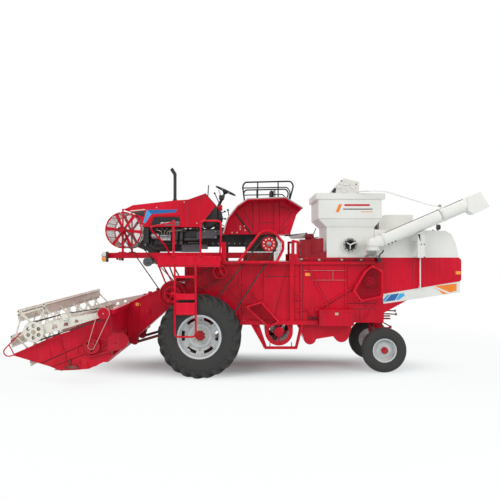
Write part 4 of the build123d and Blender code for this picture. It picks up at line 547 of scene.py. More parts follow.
def ring_of(centre, radius, count, start=0.0):
    # Places spaced round a circle about the Y axis.
    x, y, z = centre
    turns = [math.radians(start + 360 * i / count) for i in range(count)]
    return [(x + radius * math.cos(t), y, z + radius * math.sin(t)) for t in turns]


def row_of(start, end, count):
    # Places spaced evenly on a line.
    a, b = Vector(start), Vector(end)
    return [tuple(a.lerp(b, i / (count - 1))) for i in range(count)]


def woven(outline, start, pitch, wire):
    # Wire mesh in an outline without hollows: a grid, cut along each side, with its edges made wires.
    rest()
    xs = [a for a, b in outline]
    zs = [b for a, b in outline]
    middle = ((min(xs) + max(xs)) / 2, start, (min(zs) + max(zs)) / 2)
    wide, tall = max(xs) - min(xs), max(zs) - min(zs)
    bpy.ops.mesh.primitive_grid_add(x_subdivisions=round(wide / pitch), y_subdivisions=round(tall / pitch), size=1,
                                    location=middle, rotation=(math.radians(90), 0, 0))
    piece = bpy.context.object
    piece.scale = (wide, tall, 1)
    settle()
    bpy.ops.object.mode_set(mode="EDIT")
    turn = sum((b[0] - a[0]) * (b[1] + a[1]) for a, b in zip(outline, outline[1:] + outline[:1]))
    side = 1 if turn > 0 else -1
    for a, b in zip(outline, outline[1:] + outline[:1]):
        outward = Vector((a[1] - b[1], 0, b[0] - a[0])) * side
        bpy.ops.mesh.select_all(action="SELECT")
        bpy.ops.mesh.bisect(plane_co=(a[0], start, a[1]), plane_no=outward, clear_outer=True)
    bpy.ops.object.mode_set(mode="OBJECT")
    return wires(piece, wire)


def wires(piece, wire):
    # Every edge of the piece made a thin square wire.
    take(piece)
    modify(piece, "WIREFRAME", thickness=wire, use_boundary=True, use_even_offset=False)
    return piece


def round_mesh(centre, radius, pitch, wire, sides=36):
    # Wire mesh in a circle facing sideways.
    x, y, z = centre
    turns = [2 * math.pi * i / sides for i in range(sides)]
    outline = [(x + radius * math.cos(t), z + radius * math.sin(t)) for t in turns]
    return woven(outline, y, pitch, wire)


def film(name, outline, side, material):
    # Printed film 0.6 mm thick on a side face, set 1 mm into it so that no faces share a plane.
    start = side - math.copysign(FILM_SINK, side)
    return finish(plate(outline, start, math.copysign(FILM_DEPTH, side)), name, material, merge=0.0)


def belt_path(one, two):
    # Points of an open belt round two wheels, each (x, z, radius), the short way outside both.
    (x1, z1, r1), (x2, z2, r2) = one, two
    gap = math.hypot(x2 - x1, z2 - z1)
    along = math.atan2(z2 - z1, x2 - x1)
    lean = math.acos((r1 - r2) / gap)
    points = []
    for x, z, r, start, end in ((x1, z1, r1, along + lean, along + 2 * math.pi - lean),
                                (x2, z2, r2, along - lean, along + lean)):
        for step in range(17):
            t = start + (end - start) * step / 16
            points.append((x + r * math.cos(t), z + r * math.sin(t)))
    return points


def belt(name, one, two, y0, y1, thick, material):
    # Flat loop: its side line is drawn point by point, pulled to the belt's width and given its thickness.
    rest()
    points = [Vector((a, y0, b)) for a, b in belt_path(one, two)]
    bpy.ops.mesh.primitive_plane_add(size=0.002, location=points[0])
    settle()
    edit("VERT")
    bpy.ops.mesh.merge(type="CENTER")
    for here, there in zip(points, points[1:] + points[:1]):
        bpy.ops.mesh.extrude_vertices_move(TRANSFORM_OT_translate={"value": there - here})
    bpy.ops.mesh.select_all(action="SELECT")
    bpy.ops.mesh.remove_doubles(threshold=0.0002)
    bpy.ops.mesh.select_mode(type="EDGE")
    bpy.ops.mesh.select_all(action="SELECT")
    bpy.ops.mesh.extrude_edges_move(TRANSFORM_OT_translate={"value": (0, y1 - y0, 0)})
    bpy.ops.mesh.select_all(action="SELECT")
    bpy.ops.mesh.normals_make_consistent(inside=False)
    bpy.ops.object.mode_set(mode="OBJECT")
    loop = bpy.context.object
    modify(loop, "SOLIDIFY", thickness=thick, offset=1.0)
    return finish(loop, name, material)


def lines(name, runs, side, width, material, body="chassis"):
    # Thin dark or pale lines on a side face, each (x0, z0, x1, z1).
    made = []
    for x0, z0, x1, z1 in runs:
        way = Vector((x1 - x0, z1 - z0)).normalized() * width / 2
        outline = [(x0 - way.y, z0 + way.x), (x1 - way.y, z1 + way.x), (x1 + way.y, z1 - way.x),
                   (x0 + way.y, z0 - way.x)]
        made.append(plate(outline, side - math.copysign(FILM_SINK, side), math.copysign(FILM_DEPTH, side)))
    return finish(joined(made), name, material, body, merge=0.0)


def bent(points, radius, steps=6):
    # The same run with every inner corner turned into a bend.
    made = [Vector(points[0])]
    for before, corner, after in zip(points[:-2], points[1:-1], points[2:]):
        corner = Vector(corner)
        one, two = Vector(before) - corner, Vector(after) - corner
        cut = min(radius, one.length * 0.45, two.length * 0.45)
        start = corner + one.normalized() * cut
        end = corner + two.normalized() * cut
        for step in range(steps + 1):
            t = step / steps
            made.append(start * (1 - t) ** 2 + corner * 2 * t * (1 - t) + end * t ** 2)
    return made + [Vector(points[-1])]


# Reel: fine tines between the coarse ones that carry them, and bolts on its ends

def reel_tines():
    # Six hanging combs of wires 27.5 mm apart, between the solid tines that are 110 mm apart.
    for bat in range(6):
        turn = math.radians(135 + 60 * bat)
        x = REEL[0] + BAT_REACH * math.cos(turn)
        z = REEL[1] + BAT_REACH * math.sin(turn)
        rest()
        bpy.ops.mesh.primitive_cone_add(vertices=5, radius1=0.0066, radius2=0.0046, depth=0.072,
                                        location=(x, 0, z - 0.134), rotation=(math.radians(180), 0, 0))
        tine = bpy.context.object
        moves = [(0, -1.7575 + TINE_PITCH * i, 0) for i in range(128) if i % 4]
        finish(repeat(tine, moves), "reel_tine_comb_%d" % (bat + 1), TINE, "reel", merge=0.0)
        # Clamps that hold the tine bar to the slat, and the dark bolts through the slat's end.
        clamp = pressed((x - 0.012, -0.011, z - 0.104), (x + 0.012, 0.011, z - 0.084), (1, 0, 0), 0.004, -0.002)
        finish(repeat(clamp, [(0, -1.76 + 0.22 * i, 0) for i in range(17)]), "tine_clamps_%d" % (bat + 1), TINE,
               "reel")
        board = pressed((x + 0.014, -1.775, z - 0.125), (x + 0.02, 1.775, z - 0.03), (1, 0, 0), 0.02, -0.002)
        finish(board, "bat_board_%d" % (bat + 1), CREAM, "reel")
        ends = on(-1.791, (x, z - 0.05), (x, z + 0.012))
        bolted("bat_end_bolts_%d" % (bat + 1), ends, 0.008, IRON, body="reel")


# Rotary screen: wire cloth on both faces and round the drum

def drum_cloth():
    for side, tag in SIDES:
        cloth = round_mesh(at(DRUM, side * 0.3605), 0.32, 0.021, 0.0036)
        finish(cloth, "drum_face_cloth_" + tag, WIRE, "drum_screen", merge=0.0)
    rest()
    bpy.ops.mesh.primitive_circle_add(vertices=92, radius=0.3345, location=at(DRUM, -0.356),
                                      rotation=(math.radians(90), 0, 0))
    settle()
    edit("EDGE")
    rings, width = 31, 0.712
    for _ in range(rings):
        bpy.ops.mesh.extrude_edges_move(TRANSFORM_OT_translate={"value": (0, width / rings, 0)})
    bpy.ops.object.mode_set(mode="OBJECT")
    finish(wires(bpy.context.object, 0.0032), "drum_rim_cloth", WIRE, "drum_screen", merge=0.0)
    rim = ring_of(at(DRUM, -0.381), 0.328, 12, 9)
    bolted("drum_rim_bolts", rim, 0.007, ZINC, body="drum_screen")
    hub = [(0.062, 0.0), (0.058, -0.014), (0.034, -0.018), (0.03, -0.034), (0.014, -0.038)]
    finish(turned(at(DRUM, -0.389), hub), "drum_hub_cap", RED, "drum_screen")


# Tractor hood: louvred vent, its raised frame, a bare plate, stripes and seams

def hood_trim():
    for side, tag in SIDES:
        face = side * HOOD_SIDE
        film("hood_stripe_blue_" + tag, [(-2.03, 2.948), (-1.455, 2.954), (-1.505, 2.898), (-1.939, 2.868)], face,
             BLUE_FILM)
        film("hood_stripe_light_" + tag, [(-2.03, 2.948), (-1.939, 2.868), (-1.969, 2.837), (-2.06, 2.697),
                                          (-2.101, 2.706)], face, SKY_FILM)
        # Cream line at the top edge of the hood's nose: painted highlight.
        film("hood_painted_highlight_" + tag, [(-2.335, 2.918), (-2.06, 2.946), (-2.06, 2.962), (-2.335, 2.936)], face, CREAM_HIGHLIGHT_FILM)
        # Black plate on the hood side behind the top of the drum.
        lamp = plate([(-2.325, 2.905), (-2.07, 2.935), (-2.075, 2.842), (-2.12, 2.822), (-2.235, 2.872)],
                     side * 0.326, side * 0.01)
        finish(lamp, "hood_dark_plate_" + tag, PLASTIC, bevel=0.003)
        back = plate([(-1.96, 2.654), (-1.904, 2.797), (-1.883, 2.814), (-1.443, 2.818), (-1.421, 2.798),
                      (-1.421, 2.654)], side * 0.3165, side * 0.003)
        finish(back, "hood_vent_back_" + tag, PLASTIC)
        slats = []
        for step in range(7):
            z = 2.668 + 0.021 * step
            x = -1.948 + 0.0082 * step
            slat = plate([(side * 0.319, z), (side * 0.3275, z + 0.004), (side * 0.3275, z + 0.008),
                          (side * 0.319, z + 0.014)], x, -1.426 - x, way="X")
            slats.append(slat)
        finish(joined(slats), "hood_vent_louvres_" + tag, PLASTIC)
        rim = [(-2.005, 2.632), (-1.932, 2.806), (-1.893, 2.836), (-1.405, 2.842), (-1.4, 2.64), (-2.005, 2.632)]
        finish(pipe([on(side * 0.331, *rim)], 0.009), "hood_vent_frame_" + tag, RED)
        sign = plate([(-1.795, 2.655), (-1.762, 2.716), (-1.43, 2.73), (-1.43, 2.658)], side * 0.327, side * 0.004)
        finish(sign, "hood_bare_plate_" + tag, ALLOY, bevel=0.0015)
        film("hood_bare_plate_inset_" + tag, [(-1.765, 2.667), (-1.748, 2.702), (-1.442, 2.716), (-1.442, 2.67)],
             side * 0.331, GREY_FILM)
        film("hood_seam_" + tag, oblong(-1.2565, 2.63, -1.2515, 3.136), face, SEAM_AND_SHADE)
        handle = plate([(-1.104, 3.106), (-1.098, 3.116), (-0.984, 3.2), (-0.98, 3.19)], side * 0.3215, side * 0.003)
        finish(handle, "hood_hand_slot_" + tag, PLASTIC)
        catches = on(side * 0.3305, (-1.85, 2.99), (-1.33, 3.09), (-1.1, 2.7))
        bolted("hood_screws_" + tag, catches, 0.009, ZINC, (0, side, 0))
    # Seam along the middle of the hood's top, folded edge at the rear.
    ridge = [(-2.289, 3.0365), (-1.529, 3.1225), (-1.263, 3.1405), (-0.941, 3.2545)]
    finish(pipe([[(x, 0.0, z - 0.001) for x, z in ridge]], 0.005), "hood_top_bead", RED)
    finish(pipe([on(s * 0.326, (-0.941, 3.2545), (-0.742, 3.028), (-1.003, 2.684)) for s in (-1, 1)], 0.007),
           "hood_rear_edging", PLASTIC)


# Driver's controls, in place of the plain steering solid

def steering_gear():
    lean = math.radians(25)
    centre = Vector((-0.575, 0.0, 3.332))
    normal = Vector((math.sin(lean), 0, math.cos(lean)))
    rest()
    bpy.ops.mesh.primitive_torus_add(major_radius=0.2, minor_radius=0.0125, major_segments=56, minor_segments=10,
                                     location=centre, rotation=(0, lean, 0))
    rim = bpy.context.object
    made = [rim]
    for turn in (90, 210, 330):
        t = math.radians(turn)
        out = Vector((math.cos(t) * math.cos(lean), math.sin(t), -math.cos(t) * math.sin(lean)))
        made.append(pipe([[centre + out * 0.03 - normal * 0.03, centre + out * 0.1 - normal * 0.012,
                           centre + out * 0.195]], 0.009))
    hub = turned((0, 0, 0), [(0.016, -0.07), (0.04, -0.045), (0.052, -0.03), (0.052, 0.004), (0.03, 0.012)], way="Z")
    hub.rotation_euler = (0, lean, 0)
    hub.location = centre
    made.append(hub)
    wheel = finish(joined(made), "steering_wheel", PLASTIC, smooth=50)
    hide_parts("steering")
    column = turned((0, 0, 0), [(0.03, -0.42), (0.026, -0.2), (0.034, -0.18), (0.034, -0.12), (0.02, -0.08),
                                (0.016, -0.03)], way="Z", sides=24)
    column.rotation_euler = (0, lean, 0)
    column.location = centre
    finish(column, "steering_column", PLASTIC)
    switch = pressed((-0.7, -0.075, 3.165), (-0.61, 0.075, 3.245), (1, 0, 0), 0.012, 0.006)
    finish(switch, "switch_box", PLASTIC, bevel=0.008)
    finish(pipe([[(-0.655, -0.07, 3.22), (-0.69, -0.17, 3.3), (-0.7, -0.21, 3.33)]], 0.006), "throttle_lever", IRON)
    cowl = plate([(-0.975, 3.195), (-0.925, 3.205), (-0.742, 3.028), (-0.7, 2.7), (-0.9, 2.6), (-0.985, 2.62)],
                 -0.215, 0.43)
    finish(cowl, "dash_cowl", PLASTIC, bevel=0.014)
    panel = plate([(-0.752, 3.02), (-0.735, 3.028), (-0.64, 3.06), (-0.64, 2.955), (-0.715, 2.93)], -0.1, 0.2)
    finish(panel, "column_bracket", RED, bevel=0.006)
    dials = []
    for y in (-0.13, 0.13):
        dial = turned((0, 0, 0), [(0.052, -0.004), (0.052, 0.01), (0.044, 0.012), (0.043, 0.006)], way="Z", sides=28)
        dial.rotation_euler = (0, math.radians(49), 0)
        dial.location = (-0.862, y, 3.142)
        dials.append(dial)
    finish(joined(dials), "dash_dials", ALLOY)
    stick = pipe([on(-0.2, (-0.905, 3.18), (-0.895, 3.33), (-0.89, 3.42))], 0.01)
    finish(stick, "vertical_stack", PLASTIC)


# Main drive: belts, guard mesh and the bolted pulley

def main_drive():
    belt("main_belt_cords", (*MAIN_PULLEY, 0.1455), (*LOWER_PULLEY, 0.2045), -0.7865, -0.7435, 0.012, BELT)
    guard = [(-0.3, 1.999), (0.06, 2.465), (0.145, 2.523), (0.238, 2.523), (0.33, 2.48), (0.46, 2.325), (0.46, 2.216),
             (0.356, 1.999)]
    finish(woven(guard, -0.724, 0.024, 0.009), "main_guard_mesh", BROWN_MESH, merge=0.0)
    face = [(0.128, -0.788), (0.128, -0.802), (0.118, -0.804), (0.112, -0.796), (0.06, -0.796), (0.058, -0.803),
            (0.03, -0.803)]
    finish(turned(at(MAIN_PULLEY, 0), face, sides=48), "main_pulley_face", RED)
    bolted("main_pulley_bolts", ring_of(at(MAIN_PULLEY, -0.7965), 0.092, 10, 18), 0.0125, ZINC)
    cap = [(0.044, -0.802), (0.042, -0.822), (0.026, -0.828), (0.022, -0.846), (0.01, -0.85)]
    finish(turned(at(MAIN_PULLEY, 0), cap), "main_pulley_hub", ALLOY)
    lower = [(0.186, -0.789), (0.186, -0.798), (0.172, -0.799), (0.168, -0.792), (0.07, -0.792), (0.066, -0.806),
             (0.03, -0.808)]
    finish(turned(at(LOWER_PULLEY, 0), lower, sides=48), "lower_pulley_face", RED)
    bolted("lower_pulley_bolts", ring_of(at(LOWER_PULLEY, -0.7925), 0.118, 8), 0.012, ZINC)
    rim = [(-0.323, 1.985), (0.052, 2.487), (0.14, 2.545), (0.241, 2.545), (0.34, 2.5), (0.48, 2.337), (0.48, 2.212),
           (0.367, 1.985), (-0.323, 1.985)]
    finish(pipe([on(-0.851, *rim)], 0.01), "main_guard_bead", RED_BRIGHT)


# Wire cloth in the lower guards, with their bolts

def side_guards():
    finish(woven([(-0.16, 1.168), (0.092, 1.243), (0.396, 0.903), (0.222, 0.832)], -0.7225, 0.022, 0.006),
           "sloping_guard_mesh", RED_MESH, merge=0.0)
    finish(woven([(2.079, 1.896), (2.25, 1.811), (2.25, 1.385), (1.888, 1.299), (1.767, 1.468), (1.965, 1.805)],
                 -0.7425, 0.022, 0.006), "chain_guard_mesh", RED_MESH, merge=0.0)
    ends = on(-0.742, (-0.165, 1.176), (0.094, 1.25), (0.402, 0.905), (0.222, 0.824))
    ends += on(-0.762, (2.079, 1.903), (2.256, 1.815), (2.256, 1.378), (1.884, 1.29))
    bolted("guard_corner_bolts", ends, 0.008, RED)
    walker = [(0.092, -0.723), (0.092, -0.732), (0.082, -0.733), (0.078, -0.728), (0.04, -0.728), (0.036, -0.738),
              (0.016, -0.74)]
    finish(turned((2.047, 0, 1.637), walker, sides=40), "walker_pulley_face", RED)
    small = [(0.034, -0.723), (0.034, -0.731), (0.016, -0.734)]
    finish(turned((2.079, 0, 1.843), small, sides=28), "walker_idler_face", RED_CAST)
    fan_cap = [(0.089, 0.0), (0.086, -0.012), (0.05, -0.02), (0.042, -0.034), (0.02, -0.038)]
    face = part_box("fan_rotor")[0][1]
    finish(turned(at(FAN, face - 0.001), fan_cap, sides=40), "fan_hub_cap", RED, "fan_rotor")
    bolted("fan_hub_bolts", ring_of(at(FAN, face - 0.008), 0.068, 6), 0.008, RED_MESH, body="fan_rotor")


# Fenders: silver edge, painted shade lines along the pressed channels, and their bolts

def fender_trim():
    arc = [(-0.583, 2.486), (-0.508, 2.748), (-0.333, 2.972), (-0.146, 3.096), (0.526, 3.121), (0.825, 2.935)]
    for side, tag in SIDES:
        edge = [(x, side * 0.868, z + 0.012) for x, z in arc]
        finish(pipe([edge], 0.011), "fender_edge_trim_" + tag, TRIM_AND_HIGHLIGHT)
        # Dark lines along the pressed channels and pressings: painted shade that shows their relief.
        seams = [(-0.052, 2.5, -0.052, 3.09), (0.056, 2.5, 0.056, 3.09), (0.33, 2.5, 0.33, 3.09),
                 (0.43, 2.5, 0.43, 3.09)]
        lines("fender_channel_shade_" + tag, seams, side * 0.4806, 0.016, SEAM_AND_SHADE)
        slant = [(-0.368, 2.852, -0.1, 2.503), (-0.24, 2.95, -0.06, 2.62), (-0.33, 2.93, -0.21, 3.03),
                 (-0.06, 2.62, 0.0, 2.56)]
        slant += [(0.45, 2.6, 0.66, 2.9), (0.45, 2.52, 0.6, 2.66), (0.45, 3.0, 0.62, 2.94), (0.0, 2.7, 0.39, 2.7)]
        lines("fender_pressing_shade_" + tag, slant, side * 0.4806, 0.012, SEAM_AND_SHADE)
        finish(pipe([on(side * 0.49, (-0.358, 2.86), (-0.09, 2.511))], 0.011), "fender_brace_" + tag, GREY_DARK)
        heads = on(side * 0.481, (-0.29, 2.63), (-0.21, 2.64), (-0.29, 2.585), (-0.44, 2.52), (-0.35, 2.52),
                   (-0.2, 2.56))
        bolted("fender_bolts_" + tag, heads, 0.01, ZINC, (0, side, 0))


# Wheels: studs, hub caps and valves

def wheel_trim(side, tag):
    x, z = DRIVE_HUB
    face = side * (1.1 - 0.002)
    studs = ring_of((x, face, z), 0.105, 8, 22.5) + ring_of((x, face + side * 0.008, z), 0.235, 8)
    bolted("drive_wheel_studs_" + tag, studs, 0.015, ZINC, (0, side, 0), "drive_wheel_" + tag)
    cap = [(0.084, 0.0), (0.08, side * 0.02), (0.068, side * 0.028), (0.068, side * 0.094), (0.058, side * 0.104),
           (0.026, side * 0.11)]
    finish(turned((x, side * 1.1, z), cap), "drive_hub_cap_" + tag, RED_CAST, "drive_wheel_" + tag)
    bolted("drive_cap_bolts_" + tag, ring_of((x, side * 1.127, z), 0.076, 8), 0.006, ZINC, (0, side, 0),
           "drive_wheel_" + tag)
    valve = pipe([[(x + 0.02, side * 1.06, z + 0.29), (x + 0.02, side * 1.12, z + 0.275)]], 0.006)
    finish(valve, "drive_valve_" + tag, PLASTIC, "drive_wheel_" + tag)
    x, z = REAR_HUB
    lo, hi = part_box("rim_rear_" + tag)
    out = lo[1] if side < 0 else hi[1]
    cap = [(0.062, -side * 0.03), (0.06, side * 0.004), (0.048, side * 0.01), (0.045, side * 0.022),
           (0.022, side * 0.028)]
    finish(turned((x, out, z), cap), "rear_hub_cap_" + tag, RED_CAST, "rear_wheel_" + tag)


# Rails: round bar with bent corners, in place of the mitred solids

def rails():
    y = -1.28
    post = on(y, (-1.41, 2.0), (-1.41, 2.69))
    grab = [(-0.951, y, 2.08), (-0.951, y, 2.697), (-0.603, y, 2.697), (-0.603, y, 2.4), (-0.64, -1.0, 2.09)]
    brace = [(-1.41, y, 2.67), (-1.9, -0.9, 2.6), (-1.648, -0.64, 2.299), (-1.574, -0.5, 2.1)]
    red = pipe([bent(grab, 0.07), bent(brace, 0.12)], 0.0165, 4)
    stand = pipe([post], 0.02, 4)
    knob = turned((-1.41, y, 2.69), [(0.02, -0.004), (0.024, 0.0), (0.024, 0.01), (0.014, 0.018)], way="Z", sides=20)
    feet = on(y, (-1.41, 2.094), (-0.951, 2.094))
    rail = finish(joined([red, stand, knob]), "platform_handrail", RED_BRIGHT, smooth=50)
    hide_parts("handrails")
    foot = turned((0, 0, 0), [(0.02, 0.012), (0.048, 0.01), (0.052, 0.0)], way="Z", sides=20)
    finish(repeat(foot, feet), "handrail_feet", RED_BRIGHT)
    for side, tag in SIDES:
        v = side * 0.7
        loop = on(v, (-0.21, 3.1), (-0.242, 3.348), (-0.199, 3.419), (0.624, 3.437), (0.674, 3.361), (0.598, 3.08))
        middle = on(v, (-0.232, 3.315), (0.56, 3.33), (0.615, 3.25), (0.59, 3.1))
        runs = [bent(loop, 0.075)]
        thin = [bent(middle, 0.05), on(v, (0.03, 3.1), (0.03, 3.43)), on(v, (0.397, 3.11), (0.397, 3.434))]
        rail = joined([pipe(runs, 0.0145, 4), pipe(thin, 0.011, 4)])
        rail = finish(rail, "fender_rail_" + tag, RAIL, smooth=50)
        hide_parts("handrails")


# Platform: raised tread bars on its deck and a stepped edge

def tread():
    # Bars in rows 60 mm apart, each turned the other way from its neighbours.
    pitch, rows, columns = 0.06, 17, 12
    for name, turn, odd in (("deck_tread_a", 45, 1), ("deck_tread_b", -45, 0)):
        places = [(-1.63 + pitch * i, -1.24 + pitch * j, 2.0915) for i in range(rows)
                  for j in range(columns) if (i + j) % 2 == odd]
        bar = block((-0.014, -0.004, 0.0), (0.014, 0.004, 0.0022))
        bar.rotation_euler = (0, 0, math.radians(turn))
        finish(repeat(bar, places), name, RED_BRIGHT, merge=0.0)
    screws = row_of((-1.62, -1.302, 2.05), (-0.66, -1.302, 2.05), 6)
    bolted("platform_edge_bolts", screws, 0.01, RED)
    # Dark lines along the platform's folds: painted shade.
    lines("platform_fold_shade_lines", [(-1.678, 1.935, -0.616, 1.935), (-1.2, 1.94, -1.2, 2.07)], -1.3, 0.006, SEAM_AND_SHADE)
    for z0, z1 in ((1.364, 1.466), (1.108, 1.317)):
        step = pressed((-1.352, -1.409, z0 + 0.006), (-1.04, -1.4, z1 - 0.006), (0, -1, 0), 0.012, -0.004)
        finish(step, "ladder_panel_%d" % round(z0 * 100), RED_BRIGHT, bevel=0.002)
    ends = on(-1.401, (-1.375, 1.94), (-1.023, 1.94), (-1.375, 1.75), (-1.023, 1.75))
    bolted("ladder_bolts", ends, 0.01, RED)


# Body side: shadow lines beside its ribs, bolt rows, air pipe, reflectors and small plates

def body_trim():
    # Dark lines beside the ribs, braces and edges of the body side: painted shade.
    seams = [(-0.266, 0.95, -0.266, 1.98), (0.136, 1.3, 0.136, 1.98), (0.845, 0.91, 0.845, 1.98),
             (0.795, 0.91, 0.795, 1.98), (1.656, 0.91, 1.656, 1.98), (0.93, 1.945, 1.322, 1.2),
             (0.565, 1.9, 0.338, 1.02), (1.2, 0.93, 1.2, 1.1), (1.7, 1.13, 2.18, 1.13), (1.655, 1.235, 2.18, 1.235),
             (-0.24, 1.965, 2.18, 1.965), (-0.24, 0.905, 1.1, 0.905), (0.16, 1.72, 0.74, 1.72),
             (1.88, 0.92, 1.88, 1.12)]
    lines("body_rib_shade_left", seams, -BODY_SIDE, 0.014, SEAM_AND_SHADE)
    lines("body_rib_shade_right", seams, BODY_SIDE, 0.014, SEAM_AND_SHADE)
    # Pale lines along the lit edges of the ribs: painted highlights.
    pale = [(0.862, 1.829, 1.625, 1.829), (1.015, 1.655, 1.625, 1.655), (1.392, 1.66, 1.392, 1.82),
            (1.62, 1.66, 1.62, 1.95)]
    lines("body_rib_painted_highlights_left", pale, -0.634, 0.004, TRIM_AND_HIGHLIGHT)
    heads = []
    for x0, z0, x1, z1, count in ((-0.2, 1.955, 2.1, 1.955, 24), (-0.22, 0.925, 1.06, 0.925, 14),
                                  (0.775, 1.02, 0.775, 1.9, 9), (1.6, 1.02, 1.6, 1.9, 9)):
        heads += row_of((x0, -0.6205, z0), (x1, -0.6205, z1), count)
    bolted("body_bolts_left", heads, 0.007, RED_DEEP)
    bolted("body_bolts_right", [(x, -y, z) for x, y, z in heads], 0.007, RED_DEEP, (0, 1, 0))
    air = on(-0.655, (0.79, 2.04), (0.9, 2.018), (1.28, 2.024), (1.93, 2.02), (1.975, 1.975))
    finish(pipe([bent(air, 0.05)], 0.009), "body_air_pipe", PRIMER)
    joint = turned((0, 0, 0), [(0.013, -0.022), (0.017, -0.018), (0.017, 0.018), (0.013, 0.022)], way="X", sides=16)
    places = on(-0.655, (0.82, 2.034), (1.14, 2.0215), (1.55, 2.0225), (1.9, 2.0203))
    finish(repeat(joint, places), "air_pipe_joints", TRIM_AND_HIGHLIGHT)
    clip = pressed((-0.012, -0.676, -0.024), (0.012, -0.618, 0.0), (0, -1, 0), 0.003, -0.002)
    finish(repeat(clip, [(x, 0, 2.016) for x in (0.98, 1.28, 1.72)]), "air_pipe_clips", RED)
    spots = [(0.937, -0.6215, 1.757), (3.665, -0.6215, 1.787), (0.937, 0.6215, 1.757), (3.665, 0.6215, 1.787)]
    for number, (x, y, z) in enumerate(spots):
        out = math.copysign(1.0, y)
        low, high = sorted((y - out * 0.004, y + out * 0.012))
        lens = pressed((x - 0.048, low, z - 0.028), (x + 0.048, high, z + 0.028), (0, out, 0), 0.008, -0.0025)
        finish(lens, "side_reflector_%d" % (number + 1), AMBER, bevel=0.002)
    lens = pressed((-2.205, -0.512, 1.18), (-2.115, -0.499, 1.232), (0, -1, 0), 0.008, -0.0025)
    finish(lens, "feeder_reflector", AMBER, "header", bevel=0.002)
    # Tool box: lid line, hinges and latch.
    lines("tool_box_lid_line", [(1.135, 1.098, 1.733, 1.098), (1.15, 0.86, 1.15, 1.09), (1.718, 0.86, 1.718, 1.09)],
          -0.82, 0.006, SEAM_AND_SHADE)
    hinge = pressed((-0.035, -0.828, -0.012), (0.035, -0.819, 0.012), (0, -1, 0), 0.003, -0.0015)
    finish(repeat(hinge, on(0, (1.24, 1.099), (1.63, 1.099))), "tool_box_hinges", RED)
    catch = pressed((1.405, -0.83, 1.04), (1.465, -0.819, 1.085), (0, -1, 0), 0.006, -0.003)
    finish(catch, "tool_box_latch", ZINC, bevel=0.002)


# Behind the driver: tilted panel in its black frame, brackets and motor

def rear_deck_gear():
    panel = plate([(0.585, 2.462), (0.925, 2.494), (0.905, 2.412), (0.65, 2.405)], -0.455, 0.006)
    finish(panel, "tilted_panel", TRIM_AND_HIGHLIGHT, bevel=0.002)
    edge = on(-0.46, (0.545, 2.462), (0.94, 2.512), (0.925, 2.402))
    finish(pipe([edge], 0.01), "panel_frame", BLACK)
    inner = [on(-0.3, (0.545, 2.462), (0.94, 2.512), (0.925, 2.402)), [(0.545, -0.46, 2.462), (0.545, -0.3, 2.462)],
             [(0.94, -0.46, 2.512), (0.94, -0.3, 2.512)]]
    finish(pipe(inner, 0.009), "panel_frame_back", BLACK)
    stand = on(-0.56, (0.66, 2.06), (0.66, 2.38), (0.78, 2.34), (0.78, 2.06))
    finish(pipe([bent(stand, 0.03)], 0.016), "deck_stand", RED_BRIGHT)
    motor = [(0.052, -0.1), (0.06, -0.09), (0.06, 0.03), (0.044, 0.05), (0.02, 0.06)]
    finish(turned((1.005, -0.48, 2.44), motor, way="X", sides=28), "deck_motor", PRIMER)
    finish(pipe([on(-0.5, (1.0, 2.42), (1.06, 2.5), (1.1, 2.6)), on(-0.42, (1.06, 2.42), (1.16, 2.44))], 0.008),
           "deck_rod", BLACK)
    lines("deck_box_lids", [(0.805, 2.37, 0.992, 2.37)], -0.6, 0.006, SEAM_AND_SHADE)
    lines("deck_box_lids_b", [(1.01, 2.392, 1.225, 2.392)], -0.56, 0.006, SEAM_AND_SHADE)


# Grain tank: folded-edge beads, flange ring, plain stripes; auger head's opening and plates

